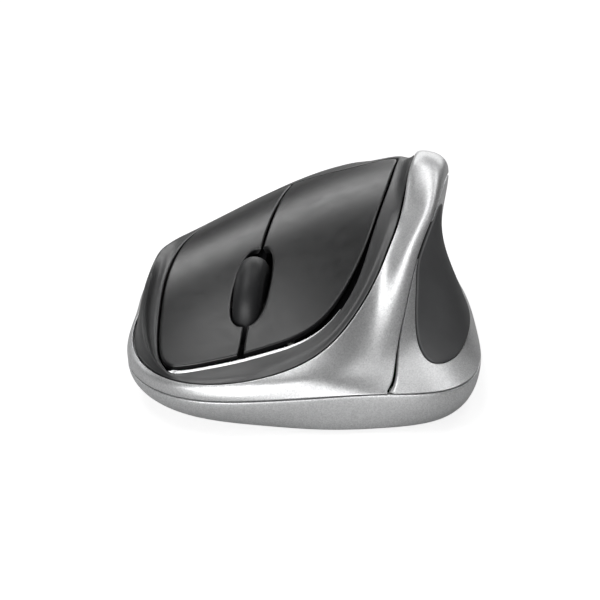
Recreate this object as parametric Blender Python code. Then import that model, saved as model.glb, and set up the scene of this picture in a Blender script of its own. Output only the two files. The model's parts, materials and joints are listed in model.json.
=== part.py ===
"""Right-handed ergonomic wireless mouse, modelled as an assembly of its real pieces.

Lengths in this script are millimetres and become metres when a mesh is made.
+Z is up, the buttons face -Y, the thumb side is +X, and the origin is under the middle.
"""
from math import cos, pi, radians, sin

import bmesh
import bpy
import numpy as np
from mathutils import Vector

MM = 0.001
GAP = 0.3                    # clearance between pieces that touch
COLUMN_STEP = 6              # degrees between the columns of the round shells

# The shells are drawn in polar form about a vertical line through the hub:
# an angle of 0 is the front, 90 the thumb side, 180 the rear, 270 the little-finger side.
HUB = np.array((-4.8, -4.82))

# Heights of the crown, the smooth surface that the buttons and the palm cover follow.
CROWN_X = (-41.5, -18.5, 3.5, 25.5, 45.5)
CROWN_Y = (-50, -22, 5, 32, 60)
CROWN_Z = (
    (10.5, 13.5, 16.0, 20.0, 24.0),
    (18.0, 23.0, 27.0, 34.0, 40.5),
    (20.5, 29.0, 36.5, 43.8, 49.0),
    (13.5, 26.8, 36.7, 43.0, 50.0),
    (7.0, 18.0, 26.0, 31.0, 36.0),
)

# Sections of the silver side skin, as (radius, height) at each angle:
# rim, valley or crest, corner, waist, flare, parting line.
SECTIONS = {
    0: ((47.4, 14.2), (48.1, 13.4), (48.6, 12.5), (48.9, 11.5), (49.1, 10.5), (49.2, 9.4)),
    18: ((41.5, 18.2), (43.8, 16.3), (45.8, 14.4), (47.0, 12.8), (47.7, 11.3), (48.2, 9.8)),
    33: ((35.6, 24.0), (38.8, 20.0), (42.2, 16.8), (46.0, 14.2), (49.4, 12.0), (51.6, 10.2)),
    46: ((31.5, 28.7), (34.3, 26.1), (38.9, 23.9), (44.0, 18.0), (51.0, 13.6), (57.2, 10.4)),
    60: ((28.5, 33.2), (30.9, 32.9), (35.5, 33.2), (40.5, 24.5), (47.0, 16.5), (54.4, 10.2)),
    78: ((26.9, 37.4), (29.6, 38.7), (34.6, 40.8), (37.6, 32.5), (42.2, 21.8), (47.4, 10.0)),
    100: ((27.6, 42.6), (29.4, 46.8), (36.4, 46.0), (35.2, 33.0), (38.0, 21.0), (44.2, 10.0)),
    125: ((34.0, 45.9), (36.2, 46.7), (42.6, 41.6), (42.0, 29.0), (43.6, 18.5), (47.4, 10.0)),
    152: ((46.0, 33.5), (49.5, 31.6), (52.3, 28.0), (53.8, 22.5), (55.2, 16.0), (56.0, 9.8)),
    180: ((56.5, 17.5), (58.0, 16.3), (59.0, 14.8), (59.7, 13.2), (60.0, 11.4), (60.0, 9.5)),
    207: ((49.8, 16.0), (51.2, 15.0), (52.1, 13.8), (52.7, 12.5), (53.0, 11.0), (53.0, 9.3)),
    233: ((40.5, 15.5), (41.9, 14.6), (42.8, 13.5), (43.3, 12.2), (43.6, 10.8), (43.5, 9.2)),
    260: ((36.2, 15.3), (37.2, 14.4), (37.9, 13.3), (38.3, 12.1), (38.4, 10.7), (38.3, 9.2)),
    290: ((36.8, 14.8), (37.7, 13.9), (38.2, 12.9), (38.5, 11.8), (38.5, 10.5), (38.2, 9.1)),
    316: ((45.9, 13.2), (46.5, 12.6), (46.9, 11.9), (47.2, 11.0), (47.3, 10.1), (47.2, 9.0)),
    340: ((51.6, 12.6), (52.0, 12.1), (52.3, 11.5), (52.4, 10.8), (52.4, 10.0), (52.2, 9.0)),
}
# Radius of the flat underside at each angle.
FOOT_RADIUS = {
    0: 42.5, 18: 46, 33: 49, 46: 51, 60: 48, 78: 42, 100: 38, 125: 41,
    152: 48, 180: 52, 207: 45, 233: 36, 260: 30, 290: 29, 316: 33, 340: 39,
}
FOOT_Z = 0.8                 # height of the flat underside
SHELL_WALL = 2.0
SKIN_WALL = 1.5
ROLL_WIDTH = {0: 4, 60: 4, 120: 6, 160: 14, 200: 14, 240: 10, 270: 6.5, 310: 6, 340: 4}
RIDGE_HEIGHT = {0: 0, 90: 0, 180: 0, 215: 0.4, 245: 2.2, 270: 4.0, 295: 5.2, 318: 3.0, 340: 0}

# Outer edge of the two buttons together, clockwise seen from above, from the front left.
PANEL = (
    (-30.2, -40.5), (-28.8, -44.4), (-27.0, -46.3), (-23.3, -46.7), (-17.7, -45.5),
    (-12.1, -43.9), (-3.8, -40.8), (2.0, -38.2), (6.2, -34.8), (9.3, -30.2), (12.0, -24.0),
    (13.8, -18.0), (15.2, -10.5), (16.3, -2.5), (17.3, 6.0), (17.9, 18.0), (17.5, 21.6),
    (15.3, 23.2), (12.0, 23.3), (6.0, 23.6), (-0.5, 25.4), (-8.0, 28.4), (-16.0, 30.6),
    (-23.0, 30.5), (-27.4, 27.5), (-30.2, 19.0), (-32.1, 8.0), (-33.2, -5.0), (-33.1, -18.0),
    (-32.2, -28.0),
)
PANEL_CORNERS = {"front_left": 330, "front_right": 380, "rear_right": 501.5, "rear_left": 572}
SEAM_GAP = 0.5               # black line round the buttons
RECESS_DEPTH = 2.6           # open recess in front of the button lips
RECESS_ENDS = (19.5, 22, 26.5, 28.5, 327.5, 329, 331, 332, 333, 334, 335, 338)  # closer columns there
BUTTON_THICKNESS = 1.8
COVER_THICKNESS = 1.8
SPLIT_X, SPLIT_Y, SPLIT_BEND = -11.4, -18.0, 0.00095
SLOT_CENTRE_Y, SLOT_HALF_LENGTH, SLOT_HALF_WIDTH, SLOT_POWER = -21.5, 13.2, 4.2, 3.4
HINGE_Y = 27.0               # rear edge of the buttons, where they flex

# Scroll wheel.
WHEEL_CENTRE = (-11.7, -21.0, 18.2)
WHEEL_RADIUS, WHEEL_WIDTH, WHEEL_DOME = 12.0, 6.8, 0.9
AXLE_RADIUS, AXLE_LENGTH = 1.2, 21.0
CLICK_TRAVEL = 0.4
CARRIER_Z, CARRIER_SIZE, CARRIER_WINDOW = 12.4, (14.4, 28.0, 2.8), (9.4, 24.2)
TOWER_OFFSET, TOWER_SIZE = 6.2, (1.6, 6.4, 7.4)
CARRIER_SPRING = (1.5, 0.25, 3)      # coil radius, wire radius, turns
SPRING_OFFSET, MIDDLE_SWITCH_OFFSET, MIDDLE_PLUNGER_OFFSET = 13.05, -14.5, -14.0
MIDDLE_SWITCH_SIZE = (6.0, 6.0, 2.4)
ENCODER_OFFSET, ENCODER_SIZE, ENCODER_RISE = 10.2, (4.4, 9.0), 2.9
AXLE_SLOT = 4.2              # width of the open slot that the axle's end moves in

# Thumb side: the slit's place down the skin, and the rubber grip's outline.
SLIT_START, SLIT_END = 32.8, 170.0
SLIT_LEVEL = 0.44
SLIT_WIDTH, SLIT_FLARE = 0.4, 0.8   # width of the gap along the top, and what it gains at the bottom
GRIP_PROUD, GRIP_THICKNESS = 0.3, 1.4
GRIP = (
    (117.0, 0.52), (108.0, 0.485), (98.0, 0.462), (84.0, 0.455), (70.0, 0.46), (60.5, 0.477),
    (54.5, 0.515), (49.5, 0.60), (47.2, 0.70), (48.2, 0.79), (53.5, 0.85), (62.0, 0.88),
    (76.0, 0.90), (94.0, 0.885), (112.0, 0.83), (124.0, 0.72), (127.0, 0.58),
)

# Inside.
FLOOR_Z = FOOT_Z + SHELL_WALL
BOARD = ((-27.0, -41.0), (23.0, 1.8))
BOARD_Z, BOARD_THICKNESS = 6.0, 1.2
BOARD_TOP = BOARD_Z + BOARD_THICKNESS
BAY = ((-27.8, 3.2), (24.7, 28.4))
BAY_WALL, BAY_TOP = 1.4, 15.8
CELL_RADIUS, CELL_LENGTH, CELL_NUB, CELL_Z = 5.25, 43.6, 0.8, 8.6
CONTACT_THICKNESS = 0.4
CELL_Y = {"front": 10.15, "rear": 21.45}
DOOR = ((-24.0, 5.0), (21.0, 26.4))
DOOR_THICKNESS = 1.8
SENSOR = (1.0, -9.0)
GLIDES = {
    "front_left": (-19.0, -31.5, -27.0), "front_right": (25.0, -36.0, 42.0),
    "rear_left": (-21.0, 34.0, 22.0), "rear_right": (14.0, 35.0, -25.0),
}
GLIDE_SIZE = (15.0, 5.0, 1.0)
CASE_SCREWS = {"left": (-10.0, 38.0), "right": (1.5, 38.0)}
POST_RADIUS, POST_Z = 3.0, 9.0
BOARD_SCREWS = {"left": (-23.0, -15.0), "right": (18.5, -33.0)}
BUTTON_SWITCHES = {"left": (-22.0, -31.0), "right": (-1.0, -31.0)}
SWITCH_SIZE = (5.8, 12.6, 6.1)
SWITCH_OFFSET = 1.5          # the plunger stands this far behind the middle of its switch
STEM_SIZE = 3.0              # the square stem under each button
PLUNGER_SIZE = (1.4, 2.4, 1.3)
PLUNGER_PROUD = 0.9          # how far a plunger stands over its switch
PLUNGER_WELL = 2.4           # depth of the well that a plunger sinks into
WELL_CLEARANCE = 0.5
STEM_CLEARANCE = 0.5
POWER_PLACE = (14.0, -14.0)
CONNECT_PLACE = (14.0, -3.5)
CONTROLLER_CHIP = ((14.0, -26.0), (9.0, 9.0, 1.6))
RADIO_CHIP = ((-20.0, -8.0), (5.0, 5.0, 1.0))
SENSOR_CHIP_SIZE, LENS_SIZE, LENS_Z = (10.0, 11.0, 2.8), (8.0, 12.0, 1.9), 4.35
CAPACITOR_PLACE, CAPACITOR_RADIUS, CAPACITOR_HEIGHT = (4.5, -36.5), 2.5, 5.4
LED_PLACE, LED_PROFILE = (13.0, -9.0), ((0, 2.0), (4.0, 2.0), (5.0, 1.5), (5.6, 0.7))

# colour, roughness, metallic
FINISHES = {
    "silver_paint": ((0.60, 0.61, 0.62), 0.32, 0.75),
    "matte_charcoal": ((0.035, 0.036, 0.038), 0.55, 0.0),
    "satin_graphite": ((0.045, 0.047, 0.050), 0.42, 0.0),
    "gloss_black": ((0.02, 0.02, 0.02), 0.08, 0.0),
    "soft_rubber": ((0.028, 0.029, 0.031), 0.75, 0.0),
    "black_plastic": ((0.02, 0.02, 0.022), 0.5, 0.0),
    "board_green": ((0.02, 0.16, 0.06), 0.45, 0.0),
    "chip_black": ((0.015, 0.015, 0.016), 0.4, 0.0),
    "steel": ((0.62, 0.62, 0.61), 0.3, 1.0),
    "nickel": ((0.70, 0.68, 0.62), 0.25, 1.0),
    "clear_plastic": ((0.80, 0.85, 0.85), 0.1, 0.0),
    "led_red": ((0.55, 0.03, 0.02), 0.2, 0.0),
    "cell_wrap": ((0.06, 0.20, 0.12), 0.3, 0.2),
    "white_plastic": ((0.75, 0.74, 0.70), 0.45, 0.0),
    "slick_white": ((0.78, 0.78, 0.76), 0.35, 0.0),
}


# ---- curves and surfaces ----------------------------------------------------

def closed_spline(knots, values, period=360.0):
    """Return a smooth closed function through values at knots."""
    knots = np.array(knots, float)
    values = np.array(values, float)
    count = len(knots)
    steps = np.diff(np.append(knots, knots[0] + period))
    flat = values.reshape(count, -1)
    matrix = np.zeros((count, count))
    right = np.zeros_like(flat)
    for i in range(count):
        before, after = steps[i - 1], steps[i]
        nxt = (i + 1) % count
        matrix[i, i - 1] += before
        matrix[i, i] += 2 * (before + after)
        matrix[i, nxt] += after
        right[i] = 6 * ((flat[nxt] - flat[i]) / after - (flat[i] - flat[i - 1]) / before)
    bend = np.linalg.solve(matrix, right)

    def at(place):
        place = (np.asarray(place, float) - knots[0]) % period + knots[0]
        i = np.clip(np.searchsorted(knots, place, side="right") - 1, 0, count - 1)
        j = (i + 1) % count
        step = steps[i][..., None]
        b = (place - knots[i])[..., None] / step
        a = 1 - b
        curve = a * flat[i] + b * flat[j]
        curve = curve + ((a**3 - a) * bend[i] + (b**3 - b) * bend[j]) * step**2 / 6
        return curve.reshape(place.shape + values.shape[1:])

    return at


def lagrange(knots, place):
    """Weights of a polynomial through the knots."""
    weights = []
    for i, own in enumerate(knots):
        weight = np.ones_like(place)
        for j, other in enumerate(knots):
            if j != i:
                weight = weight * (place - other) / (own - other)
        weights.append(weight)
    return np.array(weights)


def crown(x, y):
    """Height of the crown at a place in the plan."""
    x = np.clip(np.asarray(x, float), -44, 46)
    y = np.clip(np.asarray(y, float), -56, 60)
    return np.einsum("i...,ij,j...->...", lagrange(CROWN_Y, y), np.array(CROWN_Z), lagrange(CROWN_X, x))


section_at = closed_spline(list(SECTIONS), list(SECTIONS.values()))
foot_radius_at = closed_spline(list(FOOT_RADIUS), list(FOOT_RADIUS.values()))
roll_width_at = closed_spline(list(ROLL_WIDTH), list(ROLL_WIDTH.values()))
ridge_height_at = closed_spline(list(RIDGE_HEIGHT), list(RIDGE_HEIGHT.values()))


def polar(angle, radius, height):
    """Points at polar places about the hub."""
    turn = np.radians(angle)
    x = HUB[0] + radius * np.sin(turn)
    y = HUB[1] - radius * np.cos(turn)
    return np.stack(np.broadcast_arrays(x, y, height), -1)


def polar_angle(point):
    return np.degrees(np.arctan2(point[0] - HUB[0], HUB[1] - point[1])) % 360


def skin(angle, level):
    """Points of the side skin: level 0 is the rim and level 1 the parting line."""
    angle, level = np.broadcast_arrays(np.asarray(angle, float), np.asarray(level, float))
    rows = section_at(angle)
    count = rows.shape[-2]
    matrix = np.eye(count)
    for i in range(1, count - 1):
        matrix[i, i - 1:i + 2] = (1, 4, 1)
    right = np.zeros_like(rows)
    right[..., 1:-1, :] = 6 * (rows[..., 2:, :] - 2 * rows[..., 1:-1, :] + rows[..., :-2, :])
    bend = np.einsum("ij,...jk->...ik", np.linalg.inv(matrix), right)
    place = level * (count - 1)
    i = np.clip(np.floor(place).astype(int), 0, count - 2)
    b = (place - i)[..., None]
    a = 1 - b

    def row(table, index):
        return np.take_along_axis(table, index[..., None, None], axis=-2)[..., 0, :]

    point = a * row(rows, i) + b * row(rows, i + 1)
    point = point + ((a**3 - a) * row(bend, i) + (b**3 - b) * row(bend, i + 1)) / 6
    return polar(angle, point[..., 0], point[..., 1])


def skin_normal(angle, level):
    """Outward normal of the side skin."""
    angle, level = np.broadcast_arrays(np.asarray(angle, float), np.asarray(level, float))
    along = skin(angle + 1, level) - skin(angle - 1, level)
    low, high = np.clip(level - 0.01, 0, 1), np.clip(level + 0.01, 0, 1)
    down = skin(angle, high) - skin(angle, low)
    normal = np.cross(down, along)
    normal /= np.linalg.norm(normal, axis=-1, keepdims=True)
    return normal


def wall_direction(angle, level):
    """Direction across the wall: upright at the rim, level at the parting line, else the normal."""
    normal = skin_normal(angle, level)
    level = np.broadcast_to(level, normal.shape[:-1])
    at_rim = np.clip(1 - level / 0.2, 0, 1)[..., None]
    at_parting = np.clip((level - 0.7) / 0.3, 0, 1)
    normal[..., 2] *= 1 - at_parting
    mixed = normal * (1 - at_rim) + np.array((0, 0, 1.0)) * at_rim
    return mixed / np.linalg.norm(mixed, axis=-1, keepdims=True)


def skin_inside(angle, level, depth):
    return skin(angle, level) - wall_direction(angle, level) * depth


def bowl(angle, turn, inset=0.0):
    """Points of the base: turn 0 is the parting line and turn 1 the edge of the flat underside."""
    angle, turn = np.broadcast_arrays(np.asarray(angle, float), np.asarray(turn, float))
    edge = section_at(angle)[..., 5, :]
    foot = foot_radius_at(angle)
    bottom = FOOT_Z + inset
    radius = foot + (edge[..., 0] - foot) * np.cos(turn * pi / 2) - inset
    height = edge[..., 1] - (edge[..., 1] - bottom) * np.sin(turn * pi / 2)
    return polar(angle, radius, height)


def slit_level(angle):
    """Level of the thumb panel's upper edge, which meets the parting line at both ends."""
    rise = np.exp(-(angle - SLIT_START) / 6) + np.exp((angle - SLIT_END) / 10)
    return SLIT_LEVEL + (1 - SLIT_LEVEL) * rise


def slit_half_gap(angle):
    """Half the gap between the housing and the thumb panel, as a level."""
    rows = section_at(angle)
    length = np.linalg.norm(np.diff(rows, axis=-2), axis=-1).sum(-1)
    width = SLIT_WIDTH + SLIT_FLARE * np.exp(-(angle - SLIT_START) / 8)
    return width / 2 / length


def panel_outline():
    """Radius of the buttons' outer edge as a function of angle."""
    points = np.array(PANEL)
    steps = np.linalg.norm(points - np.roll(points, 1, 0), axis=1)
    places = np.cumsum(steps) - steps[0]
    total = places[-1] + steps[0]
    dense = closed_spline(places, points, total)(np.linspace(0, total, 720, endpoint=False))
    angles = np.unwrap(np.radians(polar_angle(dense.T)))
    order = np.argsort(np.degrees(angles) % 360)
    radii = np.linalg.norm(dense - HUB, axis=1)
    known = (np.degrees(angles) % 360)[order]
    return lambda angle: np.interp(np.asarray(angle) % 360, known, radii[order], period=360)


panel_radius = panel_outline()


def recess(angle):
    """Depth of the open recess in front of the button lips: deep at the left, fading to the right."""
    offset = (np.asarray(angle, float) + 180) % 360 - 180
    rise = 1 / (1 + np.exp(-(offset + 27) / 1.2))
    fall = 1 / (1 + np.exp((offset - 24) / 2.5))
    return RECESS_DEPTH * rise * fall


def opening_radius(angle):
    """Radius of the cover's opening round the buttons."""
    return panel_radius(angle) + SEAM_GAP + recess(angle)


def cover_edge(angle):
    """Radius of the dark cover's outer edge, beside the silver rim."""
    return section_at(angle)[..., 0, 0] - SEAM_GAP


def roll_width(angle):
    """Width of the cover's rolled margin, never wider than the cover beside the buttons."""
    return np.minimum(roll_width_at(angle), 0.85 * (cover_edge(angle) - opening_radius(angle)))


def cover_height(angle, radius):
    """Height of the dark cover: the crown, a ridge on the left, rolled down to the rim."""
    rim = section_at(angle)[..., 0, :]
    edge = cover_edge(angle)
    place = polar(angle, radius, 0 * radius)
    edge_place = polar(angle, edge, 0 * edge)
    drop = crown(edge_place[..., 0], edge_place[..., 1]) - rim[..., 1]
    share = np.clip((edge - radius) / roll_width(angle), 0, 1)
    rolled = drop * (1 - np.sqrt(np.clip(1 - (1 - share) ** 2, 0, 1)))
    inner = opening_radius(angle)
    across = np.clip((radius - inner) / (edge - inner), 0, 1)
    ridge = ridge_height_at(angle) * np.sin(pi * across**1.8) ** 2
    return crown(place[..., 0], place[..., 1]) + ridge - rolled


def cover_radii(angle, flat_steps, roll_steps):
    """Radii across the cover at one angle: even steps, then closer ones round the rolled margin."""
    inner, edge, width = opening_radius(angle), cover_edge(angle), roll_width(angle)
    flat = spread(inner, edge - width, flat_steps)
    bend = spread(0, pi / 2, roll_steps + 1)[1:]
    return np.concatenate([flat, edge - width * (1 - np.sin(bend))])


def split_x(y):
    return SPLIT_X + SPLIT_BEND * (y - SPLIT_Y) ** 2


def slot_half_width(y):
    share = np.clip(np.abs(y - SLOT_CENTRE_Y) / SLOT_HALF_LENGTH, 0, 1)
    return SLOT_HALF_WIDTH * (1 - share**SLOT_POWER) ** (1 / SLOT_POWER)


# ---- meshes and objects -----------------------------------------------------

def clear_scene():
    for item in list(bpy.data.objects):
        bpy.data.objects.remove(item, do_unlink=True)


def material(name):
    found = bpy.data.materials.get(name)
    if found:
        return found
    colour, roughness, metallic = FINISHES[name]
    made = bpy.data.materials.new(name)
    made.use_nodes = True
    shader = made.node_tree.nodes["Principled BSDF"]
    shader.inputs["Base Color"].default_value = (*colour, 1)
    shader.inputs["Roughness"].default_value = roughness
    shader.inputs["Metallic"].default_value = metallic
    made.diffuse_color = (*colour, 1)
    return made


def add_object(name, points, faces, finish, origin=(0, 0, 0)):
    """Make one object from points in millimetres, with its origin where its joint is."""
    mesh = bpy.data.meshes.new(name)
    local = (np.asarray(points, float) - np.asarray(origin, float)) * MM
    mesh.from_pydata(local.tolist(), [], faces)
    work = bmesh.new()
    work.from_mesh(mesh)
    bmesh.ops.recalc_face_normals(work, faces=work.faces)
    if work.calc_volume(signed=True) < 0:
        bmesh.ops.reverse_faces(work, faces=work.faces)
    work.to_mesh(mesh)
    work.free()
    mesh.shade_smooth()
    mesh.set_sharp_from_angle(angle=radians(35))
    made = bpy.data.objects.new(name, mesh)
    made.location = Vector(origin) * MM
    if finish:
        mesh.materials.append(material(finish))
    bpy.context.scene.collection.objects.link(made)
    return made


def ring_solid(name, rings, finish, looped=False, origin=(0, 0, 0)):
    """Join rings of equal length: looped back to the first, or closed by a point at each end."""
    rings = np.asarray(rings, float)
    count, size = rings.shape[:2]
    points = list(rings.reshape(-1, 3))
    faces = []
    last = count if looped else count - 1
    for i in range(last):
        for j in range(size):
            k = (j + 1) % size
            nxt = (i + 1) % count
            faces.append((i * size + j, i * size + k, nxt * size + k, nxt * size + j))
    if not looped:
        for ring in (0, count - 1):
            points.append(rings[ring].mean(0))
            middle = len(points) - 1
            faces += [(ring * size + j, ring * size + (j + 1) % size, middle) for j in range(size)]
    return add_object(name, points, faces, finish, origin)


def plate_solid(name, top, bottom, finish, origin=(0, 0, 0)):
    """A plate from two equal grids of points and the walls between them."""
    rows, cols = top.shape[:2]
    points = np.concatenate([top.reshape(-1, 3), bottom.reshape(-1, 3)])
    half = rows * cols
    faces = []
    for i in range(rows - 1):
        for j in range(cols - 1):
            a, b = i * cols + j, i * cols + j + 1
            c, d = b + cols, a + cols
            faces.append((a, b, c, d))
            faces.append((half + d, half + c, half + b, half + a))
    border = [j for j in range(cols)]
    border += [i * cols + cols - 1 for i in range(1, rows)]
    border += [(rows - 1) * cols + j for j in range(cols - 2, -1, -1)]
    border += [i * cols for i in range(rows - 2, 0, -1)]
    for a, b in zip(border, border[1:] + border[:1]):
        faces.append((b, a, half + a, half + b))
    return add_object(name, points, faces, finish, origin)


def box(name, centre, size, finish, turn=0.0, round_corners=0.0, origin=None):
    """A box, with its upright corners rounded when round_corners is set."""
    half_x, half_y, half_z = (value / 2 for value in size)
    outline = []
    if round_corners:
        for corner in range(4):
            sx, sy = ((1, 1), (-1, 1), (-1, -1), (1, -1))[corner]
            for step in range(5):
                bend = radians(corner * 90 + step * 22.5)
                outline.append((sx * (half_x - round_corners) + round_corners * cos(bend),
                                sy * (half_y - round_corners) + round_corners * sin(bend)))
    else:
        outline = [(half_x, half_y), (-half_x, half_y), (-half_x, -half_y), (half_x, -half_y)]
    return prism(name, outline, centre, half_z, finish, turn, origin)


def prism(name, outline, centre, half_z, finish, turn=0.0, origin=None):
    """Extrude a plan outline up and down from its centre."""
    c, s = cos(radians(turn)), sin(radians(turn))
    flat = [(c * x - s * y + centre[0], s * x + c * y + centre[1]) for x, y in outline]
    size = len(flat)
    points = [(x, y, centre[2] + side * half_z) for side in (-1, 1) for x, y in flat]
    faces = [tuple(range(size)), tuple(range(2 * size - 1, size - 1, -1))]
    faces += [(j, (j + 1) % size, size + (j + 1) % size, size + j) for j in range(size)]
    return add_object(name, points, faces, finish, origin or centre)


def turned(name, profile, centre, axis, finish, segments=24, origin=None):
    """Turn a profile of (distance along the axis, radius) round its axis."""
    rings = []
    for along, radius in profile:
        ring = []
        for j in range(segments):
            bend = 2 * pi * j / segments
            u, v = radius * cos(bend), radius * sin(bend)
            offset = {"x": (along, u, v), "y": (v, along, u), "z": (u, v, along)}[axis]
            ring.append(np.add(centre, offset))
        rings.append(ring)
    size, count = segments, len(rings)
    points = np.array(rings).reshape(-1, 3)
    faces = [tuple(range(size)), tuple(range((count - 1) * size, count * size))]
    for i in range(count - 1):
        for j in range(size):
            k = (j + 1) % size
            faces.append((i * size + j, i * size + k, (i + 1) * size + k, (i + 1) * size + j))
    return add_object(name, points, faces, finish, origin or centre)


def combine(target, tool, operation):
    """Add or cut a helper object, which the build then leaves out."""
    tool.hide_render = True
    tool.display_type = "WIRE"
    step = target.modifiers.new(tool.name, "BOOLEAN")
    step.operation = operation
    step.solver = "EXACT"
    step.object = tool


def cut(target, tool):
    combine(target, tool, "DIFFERENCE")


def fuse(target, tool):
    combine(target, tool, "UNION")


def spread(start, end, count):
    return np.linspace(start, end, count)


# ---- outer shells -----------------------------------------------------------

def columns():
    return np.arange(0, 360, COLUMN_STEP, dtype=float)


def make_base_shell():
    """The silver bowl, hollow, with its openings, bosses and pockets."""
    angles = columns()
    foot = foot_radius_at(angles)
    inner = [polar(angles, foot * share, FLOOR_Z) for share in (0.2, 0.6)]
    inner += [bowl(angles, turn, SHELL_WALL) + (0, 0, -GAP * (1 - turn)) for turn in (1, 0.75, 0.5, 0.25, 0)]
    outer = [bowl(angles, turn) + (0, 0, -GAP * (1 - turn)) for turn in (0, 0.2, 0.4, 0.6, 0.8, 1)]
    outer += [polar(angles, foot * share, FOOT_Z) for share in (0.6, 0.2)]
    shell = ring_solid("base_shell", inner + outer, "silver_paint")
    for side, (x, y) in BOARD_SCREWS.items():
        height = BOARD_Z - GAP - FLOOR_Z + 0.5
        top = (x, y, BOARD_Z - GAP)
        fuse(shell, turned(f"board_boss_{side}", ((-height, 3.0), (0, 3.0)), top, "z", None))
        cut(shell, turned(f"board_boss_hole_{side}", ((-2.4, 1.3), (1, 1.3)), top, "z", None, 12))
    (x0, y0), (x1, y1) = DOOR
    middle = ((x0 + x1) / 2, (y0 + y1) / 2, FLOOR_Z - 1)
    size = (x1 - x0 + 2 * GAP, y1 - y0 + 2 * GAP, 6)
    cut(shell, box("door_opening", middle, size, None))
    cut(shell, box("sensor_opening", (*SENSOR, 1), (9, 7, 6), None))
    cut(shell, box("power_opening", (*POWER_PLACE, 1), (9, 3.6, 6), None))
    cut(shell, turned("connect_opening", ((-3, 2.2), (3, 2.2)), (*CONNECT_PLACE, 1), "z", None))
    for side, (x, y) in CASE_SCREWS.items():
        depth = POST_Z - GAP - FLOOR_Z + 0.5
        profile = ((-depth, POST_RADIUS), (0, POST_RADIUS))
        fuse(shell, turned(f"case_boss_{side}", profile, (x, y, POST_Z - GAP), "z", None))
        cut(shell, turned(f"case_hole_{side}", ((-12, 1.6), (12, 1.6)), (x, y, FLOOR_Z), "z", None, 12))
        cut(shell, turned(f"case_pocket_{side}", ((-3, 2.7), (1.35, 2.7)), (x, y, FOOT_Z), "z", None, 16))
    for corner, (x, y, turn) in GLIDES.items():
        length, width, height = GLIDE_SIZE
        pocket = (length + 2 * GAP, width + 2 * GAP, 2 * (height + GAP))
        cut(shell, box(f"glide_pocket_{corner}", (x, y, 0), pocket, None, turn, 2.5))


def band(angles, upper, lower, wall, rows):
    """Closed loops of skin, one for each angle, from an upper level down to a lower one."""
    loops = []
    for angle, top, bottom in zip(angles, upper, lower):
        levels = spread(top, bottom, rows)
        outer = skin(angle, levels)
        inner = skin_inside(angle, levels, wall)[::-1]
        loops.append(np.concatenate([outer, inner]))
    return loops


def make_upper_housing():
    """The silver ring from the rim down to the parting line, or to the thumb panel's upper edge."""
    near_slit = [SLIT_START + step for step in (0.4, 1.2, 2.2, 5, 9)]
    near_end = [SLIT_END - step for step in (0.4, 1.2, 4)]
    angles = np.sort(np.concatenate([columns(), near_slit, near_end]))
    lower = np.minimum(slit_level(angles) - slit_half_gap(angles), 1.0)
    lower = np.where((angles < SLIT_START) | (angles > SLIT_END), 1.0, lower)
    ring_solid("upper_housing", band(angles, 0 * angles, lower, SKIN_WALL, 9), "silver_paint", looped=True)


def grip_outline(count, margin=0.0):
    """The grip's outline on the skin, as angles and levels, grown by a margin in millimetres."""
    knots = np.arange(len(GRIP), dtype=float)
    outline = closed_spline(knots, GRIP, len(GRIP))(spread(0, len(GRIP), count + 1)[:-1])
    if not margin:
        return outline[:, 0], outline[:, 1]
    scale = np.array((0.7, 40.0))
    flat = outline * scale
    along = np.roll(flat, -1, 0) - np.roll(flat, 1, 0)
    outward = np.stack([-along[:, 1], along[:, 0]], 1)
    outward /= np.linalg.norm(outward, axis=1, keepdims=True)
    grown = (flat + outward * margin) / scale
    return grown[:, 0], grown[:, 1]


def make_thumb_panel():
    """The silver side panel, from the slit down to the parting line, with the grip's pocket."""
    share = spread(0, 1, 36)
    share = share - 0.92 * np.sin(2 * pi * share) / (2 * pi)
    angles = SLIT_START + 0.8 + (SLIT_END - SLIT_START - 1.8) * share
    upper = slit_level(angles) + slit_half_gap(angles)
    top, bottom = [], []
    for angle, start in zip(angles, upper):
        levels = spread(start, 1.0, 9)
        top.append(skin(angle, levels))
        bottom.append(skin_inside(angle, levels, 2.6))
    panel = plate_solid("thumb_panel", np.array(top), np.array(bottom), "silver_paint")
    angle, level = grip_outline(40, GAP)
    opens = (level < slit_level(angle) + 0.035) & (angle < 102)
    level = np.where(opens, level - 0.06, level)
    depth = GRIP_THICKNESS - GRIP_PROUD + GAP
    cut(panel, grip_body("grip_pocket", angle, level, -3.0, depth, None))


def grip_body(name, angle, level, above, depth, finish):
    """A pad that follows the skin inside an outline, from above the skin to a depth under it."""
    centre_angle, centre_level = angle.mean(), level.mean()
    rings = []
    for share in (0.15, 0.45, 0.75, 1.0):
        a = centre_angle + (angle - centre_angle) * share
        b = centre_level + (level - centre_level) * share
        rings.append(skin_inside(a, b, above))
    for share in (1.0, 0.75, 0.45, 0.15):
        a = centre_angle + (angle - centre_angle) * share
        b = centre_level + (level - centre_level) * share
        rings.append(skin_inside(a, b, depth))
    return ring_solid(name, rings, finish)


def make_thumb_grip():
    angle, level = grip_outline(40)
    grip_body("thumb_grip", angle, level, -GRIP_PROUD, GRIP_THICKNESS - GRIP_PROUD, "soft_rubber")


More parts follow.
